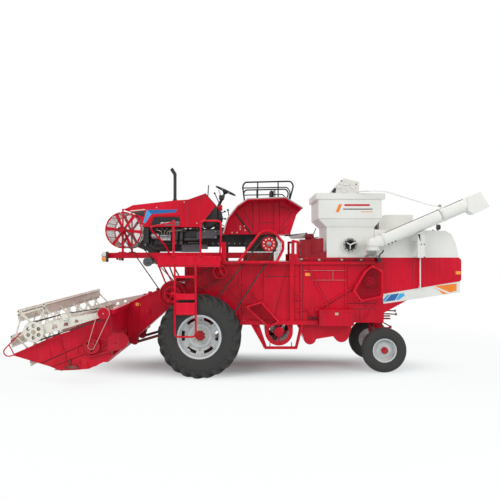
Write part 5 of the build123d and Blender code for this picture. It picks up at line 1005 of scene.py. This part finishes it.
def tank_trim():
    x, z = 1.701, 2.294
    rim = [(0.127, 0.0), (0.127, -0.02), (0.118, -0.024), (0.098, -0.024), (0.094, -0.006), (0.094, 0.0)]
    finish(turned((x, -0.652, z), rim, sides=48), "tank_port_ring", TRIM_AND_HIGHLIGHT)
    dark = [(0.1, 0.0), (0.1, -0.02), (0.078, -0.022), (0.076, 0.0)]
    finish(turned((x, -0.655, z), dark, sides=48), "tank_port_seal", PLASTIC)
    spokes = [on(-0.665, (x, z), (x + 0.085 * math.cos(t), z + 0.085 * math.sin(t))) for t in (0.5, 2.6, 4.7)]
    finish(pipe(spokes, 0.01), "tank_port_spokes", WHITE)
    bolted("tank_port_bolts", ring_of((x, -0.677, z), 0.11, 10), 0.007, GREY_DARK)
    finish(pipe([[(x, -0.69, z), (x + 0.1, -0.7, z + 0.045), (x + 0.2, -0.7, z + 0.075)]], 0.011), "tank_port_handle",
           WHITE)
    # Plain stripes on the tank's side.
    for side, tag in SIDES:
        face = side * 0.6405
        film("tank_wedge_" + tag, [(1.44, 2.885), (1.5, 3.03), (1.56, 3.03), (1.5, 2.885)], face, ORANGE_FILM)
        film("tank_stripe_red_" + tag, oblong(1.6, 2.995, 2.06, 3.03), face, RED_FILM)
        film("tank_stripe_grey_" + tag, oblong(1.575, 2.93, 2.11, 2.95), face, GREY_FILM)
        film("tank_stripe_orange_" + tag, oblong(1.9, 2.885, 2.11, 2.897), face, ORANGE_FILM)
        beads = [(1.087, 3.128, 2.334, 3.128), (1.131, 2.768, 2.277, 2.768), (1.285, 2.618, 2.15, 2.618)]
        lines("tank_folds_" + tag, beads, face, 0.006, TRIM_AND_HIGHLIGHT)
    # Auger head: dark mouth, stiffening plates and their bolts.
    mouth = plate([(1.5, 3.345), (1.56, 3.43), (1.6, 3.42), (1.58, 3.32)], 0.378, -0.004)
    finish(mouth, "auger_head_shadow", PLASTIC)
    for number, (cx, cz) in enumerate(((1.66, 3.47), (1.8, 3.52), (1.93, 3.46), (1.76, 3.38), (1.9, 3.34))):
        patch = pressed((cx - 0.05, 0.368, cz - 0.045), (cx + 0.05, 0.379, cz + 0.045), (0, -1, 0), 0.012, -0.005)
        finish(patch, "auger_head_plate_%d" % (number + 1), WHITE, bevel=0.002)
    pins = on(0.377, (1.6, 3.3), (1.72, 3.28), (1.86, 3.28), (1.98, 3.3), (1.99, 3.5), (1.7, 3.57))
    bolted("auger_head_bolts", pins, 0.01, GREY_DARK)


# Unloader: swivel fitting, seam on its tube, clamp and saddle parts; work lamp on the hood

def unloader_trim():
    rise = 0.4316
    length = math.hypot(1, rise)
    way = Vector((1 / length, 0, rise / length))

    def on_tube(x, around, radius):
        # Place on the tube's skin at this x, turned round it from its left side.
        centre = Vector((x, SWIVEL[1], 2.29 + rise * (x - SWIVEL[0])))
        across = Vector((0, -1, 0))
        above = Vector((-way.z, 0, way.x))
        return centre + across * radius * math.cos(around) + above * radius * math.sin(around)

    seam = [on_tube(x, 1.25, 0.1185) for x in (2.32, 2.8, 3.25)]
    finish(pipe([seam], 0.006), "unloader_top_seam", GREY_DARK, "unloader")
    seam = [on_tube(x, 1.25, 0.1185) for x in (3.36, 3.7)]
    finish(pipe([seam], 0.006), "unloader_top_seam_outer", GREY_DARK, "unloader")
    under = [on_tube(x, -0.9, 0.119) for x in (2.3, 2.36, 2.42)]
    bolted("unloader_lower_bolts", [tuple(p) for p in under], 0.01, GREY_DARK, (0, -0.6, -0.8), "unloader")
    band = [on_tube(3.265, -0.6 + 0.3 * step, 0.121) for step in range(9)]
    finish(pipe([band], 0.01), "unloader_clamp_band", TRIM_AND_HIGHLIGHT, "unloader")
    eye = [(0.022, 0.03), (0.022, -0.03), (0.01, -0.032), (0.01, 0.032), (0.022, 0.03)]
    finish(turned((3.255, SWIVEL[1], 2.985), eye, sides=24), "stay_eye", TRIM_AND_HIGHLIGHT, "unloader")
    lever = [(2.15, -0.96, 2.075), (2.18, -0.965, 2.13), (2.215, -0.965, 2.155), (2.235, -0.96, 2.2)]
    finish(pipe([lever], 0.012), "swing_lock_lever", BLACK)
    socket = pressed((2.19, -0.7, 1.985), (2.25, -0.64, 2.06), (0, -1, 0), 0.01, -0.01)
    finish(socket, "trailer_socket", PLASTIC, bevel=0.004)
    ring = [(0.128, 0.0), (0.14, 0.004), (0.14, 0.016), (0.128, 0.02)]
    finish(turned((*SWIVEL, 2.07), ring, way="Z", sides=40), "swing_ring", TRIM_AND_HIGHLIGHT)
    teeth = [(SWIVEL[0] + 0.133 * math.cos(t), SWIVEL[1] + 0.133 * math.sin(t), 2.09)
             for t in [i * math.pi / 5 for i in range(10)]]
    bolted("swing_ring_bolts", teeth, 0.008, GREY_DARK, (0, 0, 1))
    hook = plate([(2.842, 2.48), (2.882, 2.48), (2.892, 2.34), (2.868, 2.395)], -0.952, 0.008)
    finish(hook, "saddle_hook", GREY_DARK, bevel=0.002)
    bolted("saddle_bolts", on(-0.951, (2.9, 2.3), (2.955, 2.3), (2.955, 2.075)), 0.009, GREY_DARK)
    shell = [(0.02, 0.035), (0.046, 0.03), (0.05, -0.01), (0.05, -0.03), (0.044, -0.032)]
    finish(turned((3.396, -0.335, 2.625), shell, way="X", sides=28), "work_lamp", PLASTIC)
    finish(pipe([on(-0.335, (3.396, 2.575), (3.36, 2.552)), on(-0.335, (3.33, 2.556), (3.28, 2.575))], 0.008),
           "work_lamp_bracket", BLACK)


# Straw hood and skirts: stripes, seams and rivets

def hood_rear_trim():
    for side, tag in SIDES:
        face = side * SKIRT_SIDE
        marks = [([(2.3, 1.29), (2.38, 1.385), (2.44, 1.392), (2.33, 1.268), (2.3, 1.262)], SKY_FILM),
                 ([(2.34, 1.262), (2.455, 1.395), (2.6, 1.415), (2.52, 1.285)], BLUE_FILM),
                 ([(2.535, 1.29), (2.61, 1.41), (2.68, 1.42), (2.7, 1.372), (2.6, 1.3)], SKY_FILM)]
        for number, (outline, colour) in enumerate(marks):
            film("skirt_blue_%d_%s" % (number + 1, tag), outline, face, colour)
        film("skirt_orange_a_" + tag, [(3.19, 1.538), (3.33, 1.46), (3.385, 1.4), (3.48, 1.41)], face, ORANGE_FILM)
        film("skirt_orange_b_" + tag, [(3.24, 1.546), (3.64, 1.592), (3.64, 1.462), (3.52, 1.43)], face, ORANGE_FILM)
        seams = [(2.3, 1.46, 2.3, 2.05), (2.84, 1.56, 2.84, 2.055)]
        lines("straw_hood_seams_" + tag, seams, side * 0.6201, 0.008, SEAM_AND_SHADE)
        rivets = row_of((2.36, side * 0.6205, 2.045), (3.6, side * 0.6205, 2.045), 12)
        bolted("straw_hood_rivets_" + tag, rivets, 0.006, RED, (0, side, 0))
    steps = [on(-0.3, (2.24, 1.02), (2.62, 1.0)), on(-0.3, (2.24, 1.075), (2.6, 1.065))]
    finish(pipe(steps, 0.011), "drawbar_rods", PRIMER)
    ends = [(0.024, -0.012), (0.03, 0.0), (0.024, 0.012)]
    finish(repeat(turned((0, 0, 0), ends, way="X", sides=16), on(-0.3, (2.6, 1.065), (2.62, 1.0))),
           "drawbar_rod_ends", ZINC)


# Header: bolts and brackets on the end plates, and the knife's hanger and arm

def header_trim():
    # The end plates' top edge rises towards the rear, with a bolt every 165 mm.
    pitch, rise = 0.165, 0.6 / 1.36
    for side, tag in SIDES:
        top = [(-3.7 + pitch * i, side * 1.8635, 0.512 + rise * (0.2 + pitch * i) + 0.02) for i in range(7)]
        bolted("end_plate_bolts_" + tag, top, 0.009, RED_DEEP, (0, side, 0), "header")
    edges = [(-3.47, 0.378, -2.76, 0.696), (-3.28, 0.33, -2.35, 0.708), (-3.144, 0.744, -3.01, 0.3)]
    lines("end_plate_rib_shadows", edges, -1.8502, 0.012, SEAM_AND_SHADE, "header")
    gear = on(-1.877, (-3.06, 0.325), (-3.03, 0.325), (-2.872, 0.345), (-2.848, 0.395))
    bolted("skid_bolts", gear, 0.009, IRON, body="header")
    hanger = pressed((-3.025, -1.886, 0.36), (-2.985, -1.85, 0.44), (0, -1, 0), 0.008, -0.004)
    finish(hanger, "knife_hanger", PRIMER, "header", bevel=0.003)
    arm = plate([(-3.1, 0.3), (-3.06, 0.345), (-2.9, 0.352), (-2.86, 0.318), (-2.9, 0.296)], -1.888, 0.012)
    finish(arm, "knife_drive_arm", PRIMER, "header", bevel=0.003)
    finish(turned(at(REEL, 0), [(0.034, -1.954), (0.034, -1.962), (0.016, -1.966)], sides=24), "reel_shaft_cap", ZINC,
           "reel")
    bolted("upper_wheel_bolts", ring_of(at(ARM_WHEEL, -1.966), 0.055, 6), 0.008, RED_DEEP, body="header")
    finish(turned(at(ARM_WHEEL, 0), [(0.026, -1.9765), (0.026, -1.979), (0.012, -1.98)], sides=24), "upper_wheel_cap",
           ZINC, "header")
    finish(turned(at(IDLER, 0), [(0.04, -1.948), (0.038, -1.952), (0.016, -1.954)], sides=28), "idler_cap", CREAM,
           "reel_arms")
    pin = on(-1.872, (-2.413, 1.235), (-2.413, 1.3))
    finish(pipe([pin], 0.012), "arm_stop_pin", PRIMER, "header")


# Engine: filters, pump, injector pipes, alternator, starter and caps on its left, bolts on both sides

def engine_trim():
    y = -0.3
    filters = turned((0, 0, 0), [(0.03, 0.0), (0.042, 0.012), (0.042, 0.12), (0.03, 0.14), (0.018, 0.16)], way="Z",
                     sides=24)
    finish(repeat(filters, on(y, (-1.5, 2.36), (-1.39, 2.36))), "fuel_filters", IRON)
    bowl = turned((0, 0, 0), [(0.024, 0.0), (0.03, 0.01), (0.03, 0.05), (0.036, 0.06)], way="Z", sides=24)
    finish(repeat(bowl, on(y, (-1.5, 2.3), (-1.39, 2.3))), "filter_bowls", ALLOY)
    pump = pressed((-1.78, -0.35, 2.375), (-1.58, -0.25, 2.475), (0, -1, 0), 0.015, -0.01)
    finish(pump, "injection_pump", ALLOY, bevel=0.006)
    runs = []
    for number in range(4):
        x = -1.755 + 0.05 * number
        top = -1.86 + 0.19 * number
        run = [(x, -0.325, 2.47), (x, -0.33, 2.54), (top, -0.3, 2.585), (top, -0.24, 2.6)]
        runs.append(bent(run, 0.03, 4))
    finish(pipe(runs, 0.0045, 2), "injection_pipes", ZINC)
    body = [(0.04, -0.085), (0.068, -0.075), (0.068, 0.055), (0.05, 0.07), (0.03, 0.085)]
    finish(turned((-1.865, -0.27, 2.455), body, way="X", sides=28), "alternator", ALLOY)
    wheel = [(0.044, -0.012), (0.036, -0.004), (0.036, 0.004), (0.044, 0.012)]
    finish(turned((-1.965, -0.27, 2.455), wheel, way="X", sides=28), "alternator_wheel", IRON)
    starter = [(0.03, -0.12), (0.048, -0.1), (0.048, 0.08), (0.038, 0.1)]
    finish(turned((-1.16, -0.27, 2.33), starter, way="X", sides=24), "starter_motor", IRON)
    caps = [(0.03, 0.0), (0.034, 0.006), (0.034, 0.022), (0.022, 0.028)]
    finish(repeat(turned((0, 0, 0), caps, way="Z", sides=20),
                  [(-1.31, -0.285, 2.585), (-1.22, -0.285, 2.585), (-1.36, -0.26, 2.578)]), "filler_caps", WIRE)
    hoses = [bent([(-1.93, -0.2, 2.4), (-1.98, -0.24, 2.3), (-1.9, -0.26, 2.22), (-1.72, -0.26, 2.21)], 0.05),
             bent([(-1.1, -0.24, 2.5), (-1.02, -0.3, 2.46), (-0.98, -0.3, 2.34), (-0.86, -0.24, 2.3)], 0.05)]
    finish(pipe(hoses, 0.016), "coolant_pipes", BELT)
    cover = pressed((-0.965, -0.436, 2.475), (-0.56, -0.428, 2.56), (0, -1, 0), 0.014, -0.004)
    finish(cover, "side_cover_1", SLATE, bevel=0.003)
    cover = pressed((-1.1, -0.33, 2.4), (-0.97, -0.3, 2.54), (0, -1, 0), 0.012, -0.006)
    finish(cover, "side_cover_2", SLATE, bevel=0.003)
    box_low = pressed((-1.2, -0.345, 2.215), (-0.9, -0.225, 2.3), (0, -1, 0), 0.01, -0.006)
    finish(box_low, "battery_box", SLATE, bevel=0.005)
    heads = row_of((-1.95, -0.246, 2.6), (-1.1, -0.246, 2.6), 10)
    heads += row_of((-0.9, -0.246, 2.55), (-0.1, -0.246, 2.55), 9)
    heads += row_of((-0.9, -0.246, 2.32), (-0.1, -0.246, 2.32), 9)
    bolted("engine_bolts_left", heads, 0.01, ALLOY)
    bolted("engine_bolts_right", [(a, -b, c) for a, b, c in heads], 0.01, ALLOY, (0, 1, 0))
    pedal = pressed((-0.03, -0.05, -0.006), (0.03, 0.05, 0.006), (0, 0, 1), 0.008, 0.003)
    finish(repeat(pedal, [(-0.72, -0.28, 2.66), (-0.72, 0.2, 2.66), (-0.72, 0.33, 2.66)]), "pedals", PLASTIC)
    finish(pipe([on(v, (-0.72, 2.655), (-0.8, 2.58)) for v in (-0.28, 0.2, 0.33)], 0.009), "pedal_arms", IRON)
    hub = [(0.083, -0.651), (0.083, -0.66), (0.06, -0.661), (0.056, -0.656), (0.03, -0.656), (0.026, -0.668),
           (0.012, -0.67)]
    finish(turned(at(FRONT_PULLEY, 0), hub, sides=40), "front_pulley_face", SLATE)
    bolted("front_pulley_bolts", ring_of(at(FRONT_PULLEY, -0.661), 0.07, 6), 0.007, ALLOY)
    elbow = on(0.0, (-1.546, 3.6), (-1.546, 3.65), (-1.608, 3.742))
    finish(pipe([bent(elbow, 0.06, 8)], 0.0315, 5), "exhaust_bend", IRON, smooth=50)


# Seat: vinyl pads blown up by cloth simulation, on a post with a slide

def pad(name, lo, hi, seams):
    # A pad that starts smaller than its space, is remeshed, swollen as cloth and then stitched.
    piece = block(Vector(lo) + Vector((0.012, 0.012, 0.01)), Vector(hi) - Vector((0.012, 0.012, 0.01)))
    modify(piece, "BEVEL", width=0.026, segments=3)
    modify(piece, "REMESH", mode="VOXEL", voxel_size=PAD_VOXEL)
    flat = [vertex.co.copy() for vertex in piece.data.vertices]
    cloth = piece.modifiers.new("cloth", "CLOTH")
    cloth.settings.use_pressure = True
    cloth.settings.uniform_pressure_force = 4.0
    cloth.settings.effector_weights.gravity = 0.0
    for number in range(1, 21):
        bpy.context.scene.frame_set(number)
    bpy.ops.object.modifier_apply(modifier="cloth")
    bpy.context.scene.frame_set(1)
    for vertex, old in zip(piece.data.vertices, flat):
        moved = vertex.co - old
        if moved.length > PAD_SWELL:
            vertex.co = old + moved.normalized() * PAD_SWELL
    modify(piece, "SUBSURF", levels=1, render_levels=1)
    for axis, place, width, depth in seams:
        for vertex in piece.data.vertices:
            away = abs(vertex.co[axis] - place)
            if away < width:
                across = 0 if axis == 2 else 2
                inward = -1 if vertex.normal[across] > 0 else 1
                vertex.co[across] += inward * depth * (1 - away / width) ** 2
    made = finish(piece, name, VINYL, smooth=60)
    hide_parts("seat")


def driver_seat():
    pad("seat_cushion", (-0.05, -0.205, 2.905), (0.3, 0.205, 2.985),
        [(1, -0.125, 0.012, 0.008), (1, 0.125, 0.012, 0.008), (0, 0.12, 0.01, 0.006)])
    pad("seat_back", (0.262, -0.195, 2.995), (0.335, 0.195, 3.35), [(2, 3.1, 0.012, 0.008), (2, 3.22, 0.012, 0.008)])
    pan = plate([(-0.045, 2.898), (0.318, 2.898), (0.33, 2.93), (0.345, 3.33), (0.337, 3.33), (0.318, 2.94),
                 (0.3, 2.906), (-0.045, 2.906)], -0.2, 0.4)
    made = finish(pan, "seat_pan", PLASTIC, bevel=0.002)
    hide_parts("seat")
    post = block((0.075, -0.085, 2.565), (0.225, 0.085, 2.8))
    bpy.ops.object.mode_set(mode="EDIT")
    pick(lambda face: face.normal.z > 0.9)
    bpy.ops.mesh.inset(thickness=0.03, depth=0)
    bpy.ops.mesh.extrude_region_move(TRANSFORM_OT_translate={"value": (0, 0, 0.06)})
    bpy.ops.mesh.inset(thickness=-0.025, depth=0)
    bpy.ops.mesh.extrude_region_move(TRANSFORM_OT_translate={"value": (0, 0, 0.036)})
    bpy.ops.object.mode_set(mode="OBJECT")
    made = finish(post, "seat_post", IRON, bevel=0.004)
    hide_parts("seat")
    spring = [(0.14 + 0.038 * math.cos(t * 0.5), 0.038 * math.sin(t * 0.5), 2.8 + 0.0011 * t) for t in range(88)]
    finish(pipe([spring], 0.005, 2), "seat_spring", ALLOY)


# Ladder, front lamps and other bold parts of the left side

def ladder_rails():
    y = -1.372
    loop = bent(on(y, (-1.379, 1.972), (-1.379, 0.733), (-1.025, 0.733), (-1.025, 1.972)), 0.07)
    made = [pipe([loop], 0.017, 4)]
    for z0, z1 in ((1.729, 1.77), (1.362, 1.466), (1.105, 1.313)):
        made.append(pressed((-1.366, -1.4, z0), (-1.038, -1.388, z1), (0, -1, 0), 0.008, -0.003))
        made.append(block((-1.366, -1.39, z0 - 0.004), (-1.038, -1.345, z0 + 0.008)))
    ladder = finish(joined(made), "ladder_rails", RED_BRIGHT, bevel=0.001, smooth=45)
    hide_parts("ladder")


def front_lamps():
    for side, tag in SIDES:
        low, high = sorted((side * 0.622, side * 0.7))
        back = pressed((-2.706, low, 1.985), (-2.672, high, 2.171), (1, 0, 0), 0.01, -0.004)
        finish(back, "lamp_back_" + tag, PLASTIC, bevel=0.004)
        lens = pressed((-2.766, low, 2.086), (-2.7, high, 2.168), (-1, 0, 0), 0.012, 0.004)
        finish(lens, "lamp_lens_" + tag, WHITE, bevel=0.01)
        turn = pressed((-2.766, low, 1.99), (-2.7, high, 2.078), (-1, 0, 0), 0.012, 0.004)
        finish(turn, "turn_lens_" + tag, AMBER, bevel=0.01)


def spoked(name, place, y, radius, hub):
    # Five-spoked belt wheel: a round rim, a stepped hub and bar spokes.
    x, z = place
    rim = [(radius - 0.02, 0.016), (radius, 0.016), (radius + 0.004, 0.0), (radius, -0.014), (radius - 0.02, -0.014),
           (radius - 0.024, 0.0), (radius - 0.02, 0.016)]
    boss = [(hub, 0.012), (hub, -0.016), (hub * 0.6, -0.02), (hub * 0.5, -0.026), (0.01, -0.028)]
    made = [turned((x, y, z), rim, sides=48), turned((x, y, z), boss, sides=28)]
    arms = [on(y, (x + hub * math.cos(t), z + hub * math.sin(t)),
               (x + (radius - 0.018) * math.cos(t), z + (radius - 0.018) * math.sin(t)))
            for t in [0.4 + i * 2 * math.pi / 5 for i in range(5)]]
    made.append(pipe(arms, 0.011, 2))
    return finish(joined(made), name, RED_BRIGHT, smooth=45)


def left_side_bold():
    spoked("feeder_pulley_wheel", FEEDER_PULLEY, -0.733, 0.128, 0.034)
    spoked("feeder_shaft_wheel", FEEDER_SHAFT, -0.735, 0.15, 0.045)
    x, z = FEEDER_SHAFT
    hoop = [(x + 0.228 * math.cos(t), -0.725, z + 0.228 * math.sin(t)) for t in [0.25 * i - 0.6 for i in range(20)]]
    finish(pipe([hoop], 0.01), "feeder_wheel_hoop", RED)
    belt("screen_drive_belt", (*FEEDER_SHAFT, 0.164), (*DRUM, 0.052), -0.592, -0.562, 0.009, BELT)
    belt("feeder_drive_belt", (*FEEDER_PULLEY, 0.126), (*FEEDER_SHAFT, 0.132), -0.724, -0.698, 0.01, BELT)
    top = on(-1.934, (-3.585, 1.05), (-3.505, 1.058), (-3.066, 1.186), (-3.03, 1.188), (-2.455, 1.28))
    low = on(-1.934, (-3.45, 0.772), (-2.42, 1.104))
    finish(pipe([bent(top, 0.03), low], 0.0085), "reel_drive_belt", BELT, "reel_arms")
    # Second brace of the body side, with its shadow, and the small lever gear at its foot.
    lines("body_brace_left", [(1.066, 1.088, 1.773, 1.522)], -0.634, 0.03, RED)
    lines("body_brace_shadow", [(1.078, 1.068, 1.785, 1.502)], -0.6215, 0.014, SEAM_AND_SHADE)
    lines("body_brace_shadow_b", [(0.93, 1.93, 1.33, 1.17)], -0.6225, 0.012, SEAM_AND_SHADE)
    foot = plate([(0.94, 1.0), (0.96, 1.12), (1.02, 1.16), (1.08, 1.1), (1.16, 1.06), (1.14, 0.97)], -0.621, -0.022)
    finish(foot, "brace_foot", RED, bevel=0.002)
    levers = [bent([(0.7, -0.65, 1.09), (0.86, -0.655, 1.12), (0.93, -0.655, 1.145), (1.0, -0.655, 0.96)], 0.03),
              on(-0.655, (0.93, 1.145), (0.985, 1.02)), [(0.7, -0.65, 1.3), (0.84, -0.655, 1.305)]]
    finish(pipe(levers, 0.011), "side_levers", RED)
    slot = plate([(0.935, 0.955), (0.95, 1.005), (1.1, 0.985), (1.13, 0.955)], -0.6455, -0.002)
    finish(slot, "lever_slot", SEAM_AND_SHADE, merge=0.0)
    # Frames round the guards and the plates that hold the fan's cage.
    chain = on(-0.755, (2.079, 1.903), (2.256, 1.815), (2.256, 1.378), (1.884, 1.29), (1.76, 1.468), (1.965, 1.815))
    finish(pipe([bent(chain + chain[:2], 0.05)], 0.014), "chain_guard_frame", RED_BRIGHT)
    slope = on(-0.735, (-0.165, 1.17), (0.096, 1.25), (0.404, 0.903), (0.222, 0.826))
    finish(pipe([bent(slope + slope[:2], 0.02)], 0.012), "sloping_guard_frame", RED_BRIGHT)
    for name, outline in (("fan_gusset_front", [(-0.085, 0.88), (0.05, 0.88), (0.205, 0.425), (0.14, 0.425)]),
                          ("fan_gusset_rear", [(0.868, 0.88), (0.8, 0.88), (0.7, 0.425), (0.745, 0.425)])):
        finish(plate(outline, -0.628, 0.016), name, RED, bevel=0.003)
    finish(pipe([on(-0.628, (0.15, 0.436), (0.735, 0.436))], 0.02), "fan_cage_foot", RED)
    # Dark lever gear between the dash and the fender, and the tall cover's stay on the left.
    gear = plate([(-0.79, 2.6), (-0.73, 2.95), (-0.65, 2.93), (-0.62, 2.8), (-0.67, 2.6)], -0.115, 0.06)
    finish(gear, "pedal_box", PLASTIC, bevel=0.006)
    rods = [[(-0.655, -0.13, 2.9), (-0.59, -0.16, 2.925)], [(-0.665, -0.13, 2.8), (-0.585, -0.15, 2.79)],
            [(-0.7, -0.1, 3.1), (-0.775, -0.16, 3.27)], [(-0.66, -0.13, 2.69), (-0.595, -0.15, 2.65)]]
    finish(pipe(rods, 0.009), "column_levers", PLASTIC)
    knob = turned((0, 0, 0), [(0.008, -0.018), (0.019, -0.01), (0.019, 0.008), (0.008, 0.018)], way="Z", sides=16)
    finish(repeat(knob, [(-0.585, -0.16, 2.927), (-0.58, -0.15, 2.79), (-0.778, -0.16, 3.272)]), "lever_knobs",
           PLASTIC)
    finish(pipe([on(-0.3, (2.245, 2.68), (2.245, 2.505)), on(-0.32, (2.25, 2.552), (2.48, 2.56))], 0.009),
           "cover_catch", PLASTIC)
    grey = pressed((-1.376, -0.372, 2.16), (-1.019, -0.3, 2.286), (0, -1, 0), 0.012, -0.006)
    finish(grey, "side_tank", SLATE, bevel=0.005)
    panel = pressed((-0.976, -0.462, 2.412), (-0.716, -0.44, 2.56), (0, -1, 0), 0.016, -0.005)
    finish(panel, "tool_panel", SLATE, bevel=0.003)
    bolted("tool_panel_bolts", on(-0.463, (-0.95, 2.54), (-0.74, 2.54), (-0.95, 2.43), (-0.74, 2.43)), 0.009, ALLOY)


reel_tines()
drum_cloth()
hood_trim()
steering_gear()
main_drive()
side_guards()
fender_trim()
for side, tag in SIDES:
    wheel_trim(side, tag)
rails()
tread()
body_trim()
rear_deck_gear()
tank_trim()
unloader_trim()
hood_rear_trim()
header_trim()
engine_trim()
driver_seat()
ladder_rails()
front_lamps()
left_side_bold()


# Floor, light and camera

def shown_rays(tree):
    # One for the camera's rays, reflections and rays through glass, and nothing for light on the object.
    path = add_node(tree, "LightPath")
    seen = path.outputs["Is Camera Ray"]
    for kind in ("Is Glossy Ray", "Is Transmission Ray"):
        seen = add_node(tree, "Math", {"operation": "MAXIMUM"}, {0: seen, 1: path.outputs[kind]}).outputs[0]
    return seen


def stage_floor():
    # Pale round floor that fades into the white surround, keeps the machine's shadow and has a painted shadow: it is
    # darker in an ellipse under the machine.
    rest()
    bpy.ops.mesh.primitive_circle_add(vertices=96, radius=FLOOR_RADIUS, fill_type="NGON", location=(0, 0, 0))
    floor = bpy.context.object
    floor.name = "floor"
    material = bpy.data.materials.new("white_studio_floor")
    material.use_nodes = True
    tree = material.node_tree
    tree.nodes.clear()
    place = add_node(tree, "TexCoord").outputs["Object"]
    far = add_node(tree, "VectorMath", {"operation": "LENGTH"}, {0: place}).outputs["Value"]
    share = add_node(tree, "MapRange", None, {"Value": far, "From Min": 4.8, "From Max": 8.5}).outputs["Result"]
    # Painted shadow: the share of plain white glow is least in an ellipse under the machine, so the floor there is
    # darker even where the lamps reach it; the share grows round it.
    shade_ellipse_place = add_node(tree, "VectorMath", {"operation": "MULTIPLY"}, {0: place, 1: (0.29, 0.7, 0.0)}).outputs[0]
    off = add_node(tree, "VectorMath", {"operation": "LENGTH"}, {0: shade_ellipse_place}).outputs["Value"]
    white = add_node(tree, "MapRange", {"interpolation_type": "SMOOTHSTEP"},
                     {"Value": off, "From Min": 0.35, "From Max": 1.15, "To Min": 0.05,
                      "To Max": 0.88}).outputs["Result"]
    # The floor's faint cyan cancels the red light that the machine bounces onto its shadow.
    paint = add_node(tree, "BsdfDiffuse", None, {"Color": linear("#E6FAFB")})
    # The lamps light the floor to less than white, so camera, reflections and glass are shown the rest.
    seen = shown_rays(tree)
    glow = add_node(tree, "Emission", None, {"Color": (1, 1, 1, 1), "Strength": seen})
    part = add_node(tree, "MixShader", None, {0: white, 1: paint.outputs[0], 2: glow.outputs[0]})
    shown = add_node(tree, "MixShader", None, {0: seen, 1: paint.outputs[0], 2: part.outputs[0]})
    clear = add_node(tree, "BsdfTransparent")
    mixed = add_node(tree, "MixShader", None, {0: share, 1: shown.outputs[0], 2: clear.outputs[0]})
    out = add_node(tree, "OutputMaterial")
    tree.links.new(mixed.outputs[0], out.inputs["Surface"])
    floor.data.materials.append(material)


def stage_world():
    # White to the camera, in reflections and through glass, and a plain pale light on the object.
    world = bpy.data.worlds.new("studio")
    bpy.context.scene.world = world
    world.use_nodes = True
    tree = world.node_tree
    tree.nodes.clear()
    seen = shown_rays(tree)
    white = add_node(tree, "Background", None, {"Color": (1, 1, 1, 1), "Strength": 1.0})
    soft = add_node(tree, "Background", None, {"Color": (1, 1, 1, 1), "Strength": 0.45})
    mixed = add_node(tree, "MixShader", None, {0: seen, 1: soft.outputs[0], 2: white.outputs[0]})
    out = add_node(tree, "OutputWorld")
    tree.links.new(mixed.outputs[0], out.inputs["Surface"])


def stage_lamp(name, place, target, size, watts):
    # Soft box aimed at a target.
    light = bpy.data.lights.new(name, "AREA")
    light.shape = "RECTANGLE"
    light.size, light.size_y = size
    light.energy = watts
    lamp = bpy.data.objects.new(name, light)
    bpy.context.scene.collection.objects.link(lamp)
    lamp.location = place
    lamp.rotation_euler = (Vector(target) - Vector(place)).to_track_quat("-Z", "Y").to_euler()


def stage_camera():
    # Level camera square to the left side.
    camera = bpy.data.cameras.new("camera")
    camera.lens = FOCAL_LENGTH
    camera.sensor_width = 36
    camera.clip_end = 200
    eye = bpy.data.objects.new("camera", camera)
    bpy.context.scene.collection.objects.link(eye)
    eye.location = EYE
    eye.rotation_euler = (math.radians(90), 0, 0)
    bpy.context.scene.camera = eye


stage_floor()
stage_world()
stage_lamp("key", (-5.5, -9.0, 8.5), (0, 0, 1.6), (7, 5), 520)
stage_lamp("fill", (7.0, -8.0, 6.0), (0, 0, 1.6), (6, 5), 330)
stage_lamp("top", (0.0, 1.5, 10.0), (0, 0, 0), (9, 7), 330)
stage_camera()
bpy.context.scene.view_settings.view_transform = "Standard"

rest()
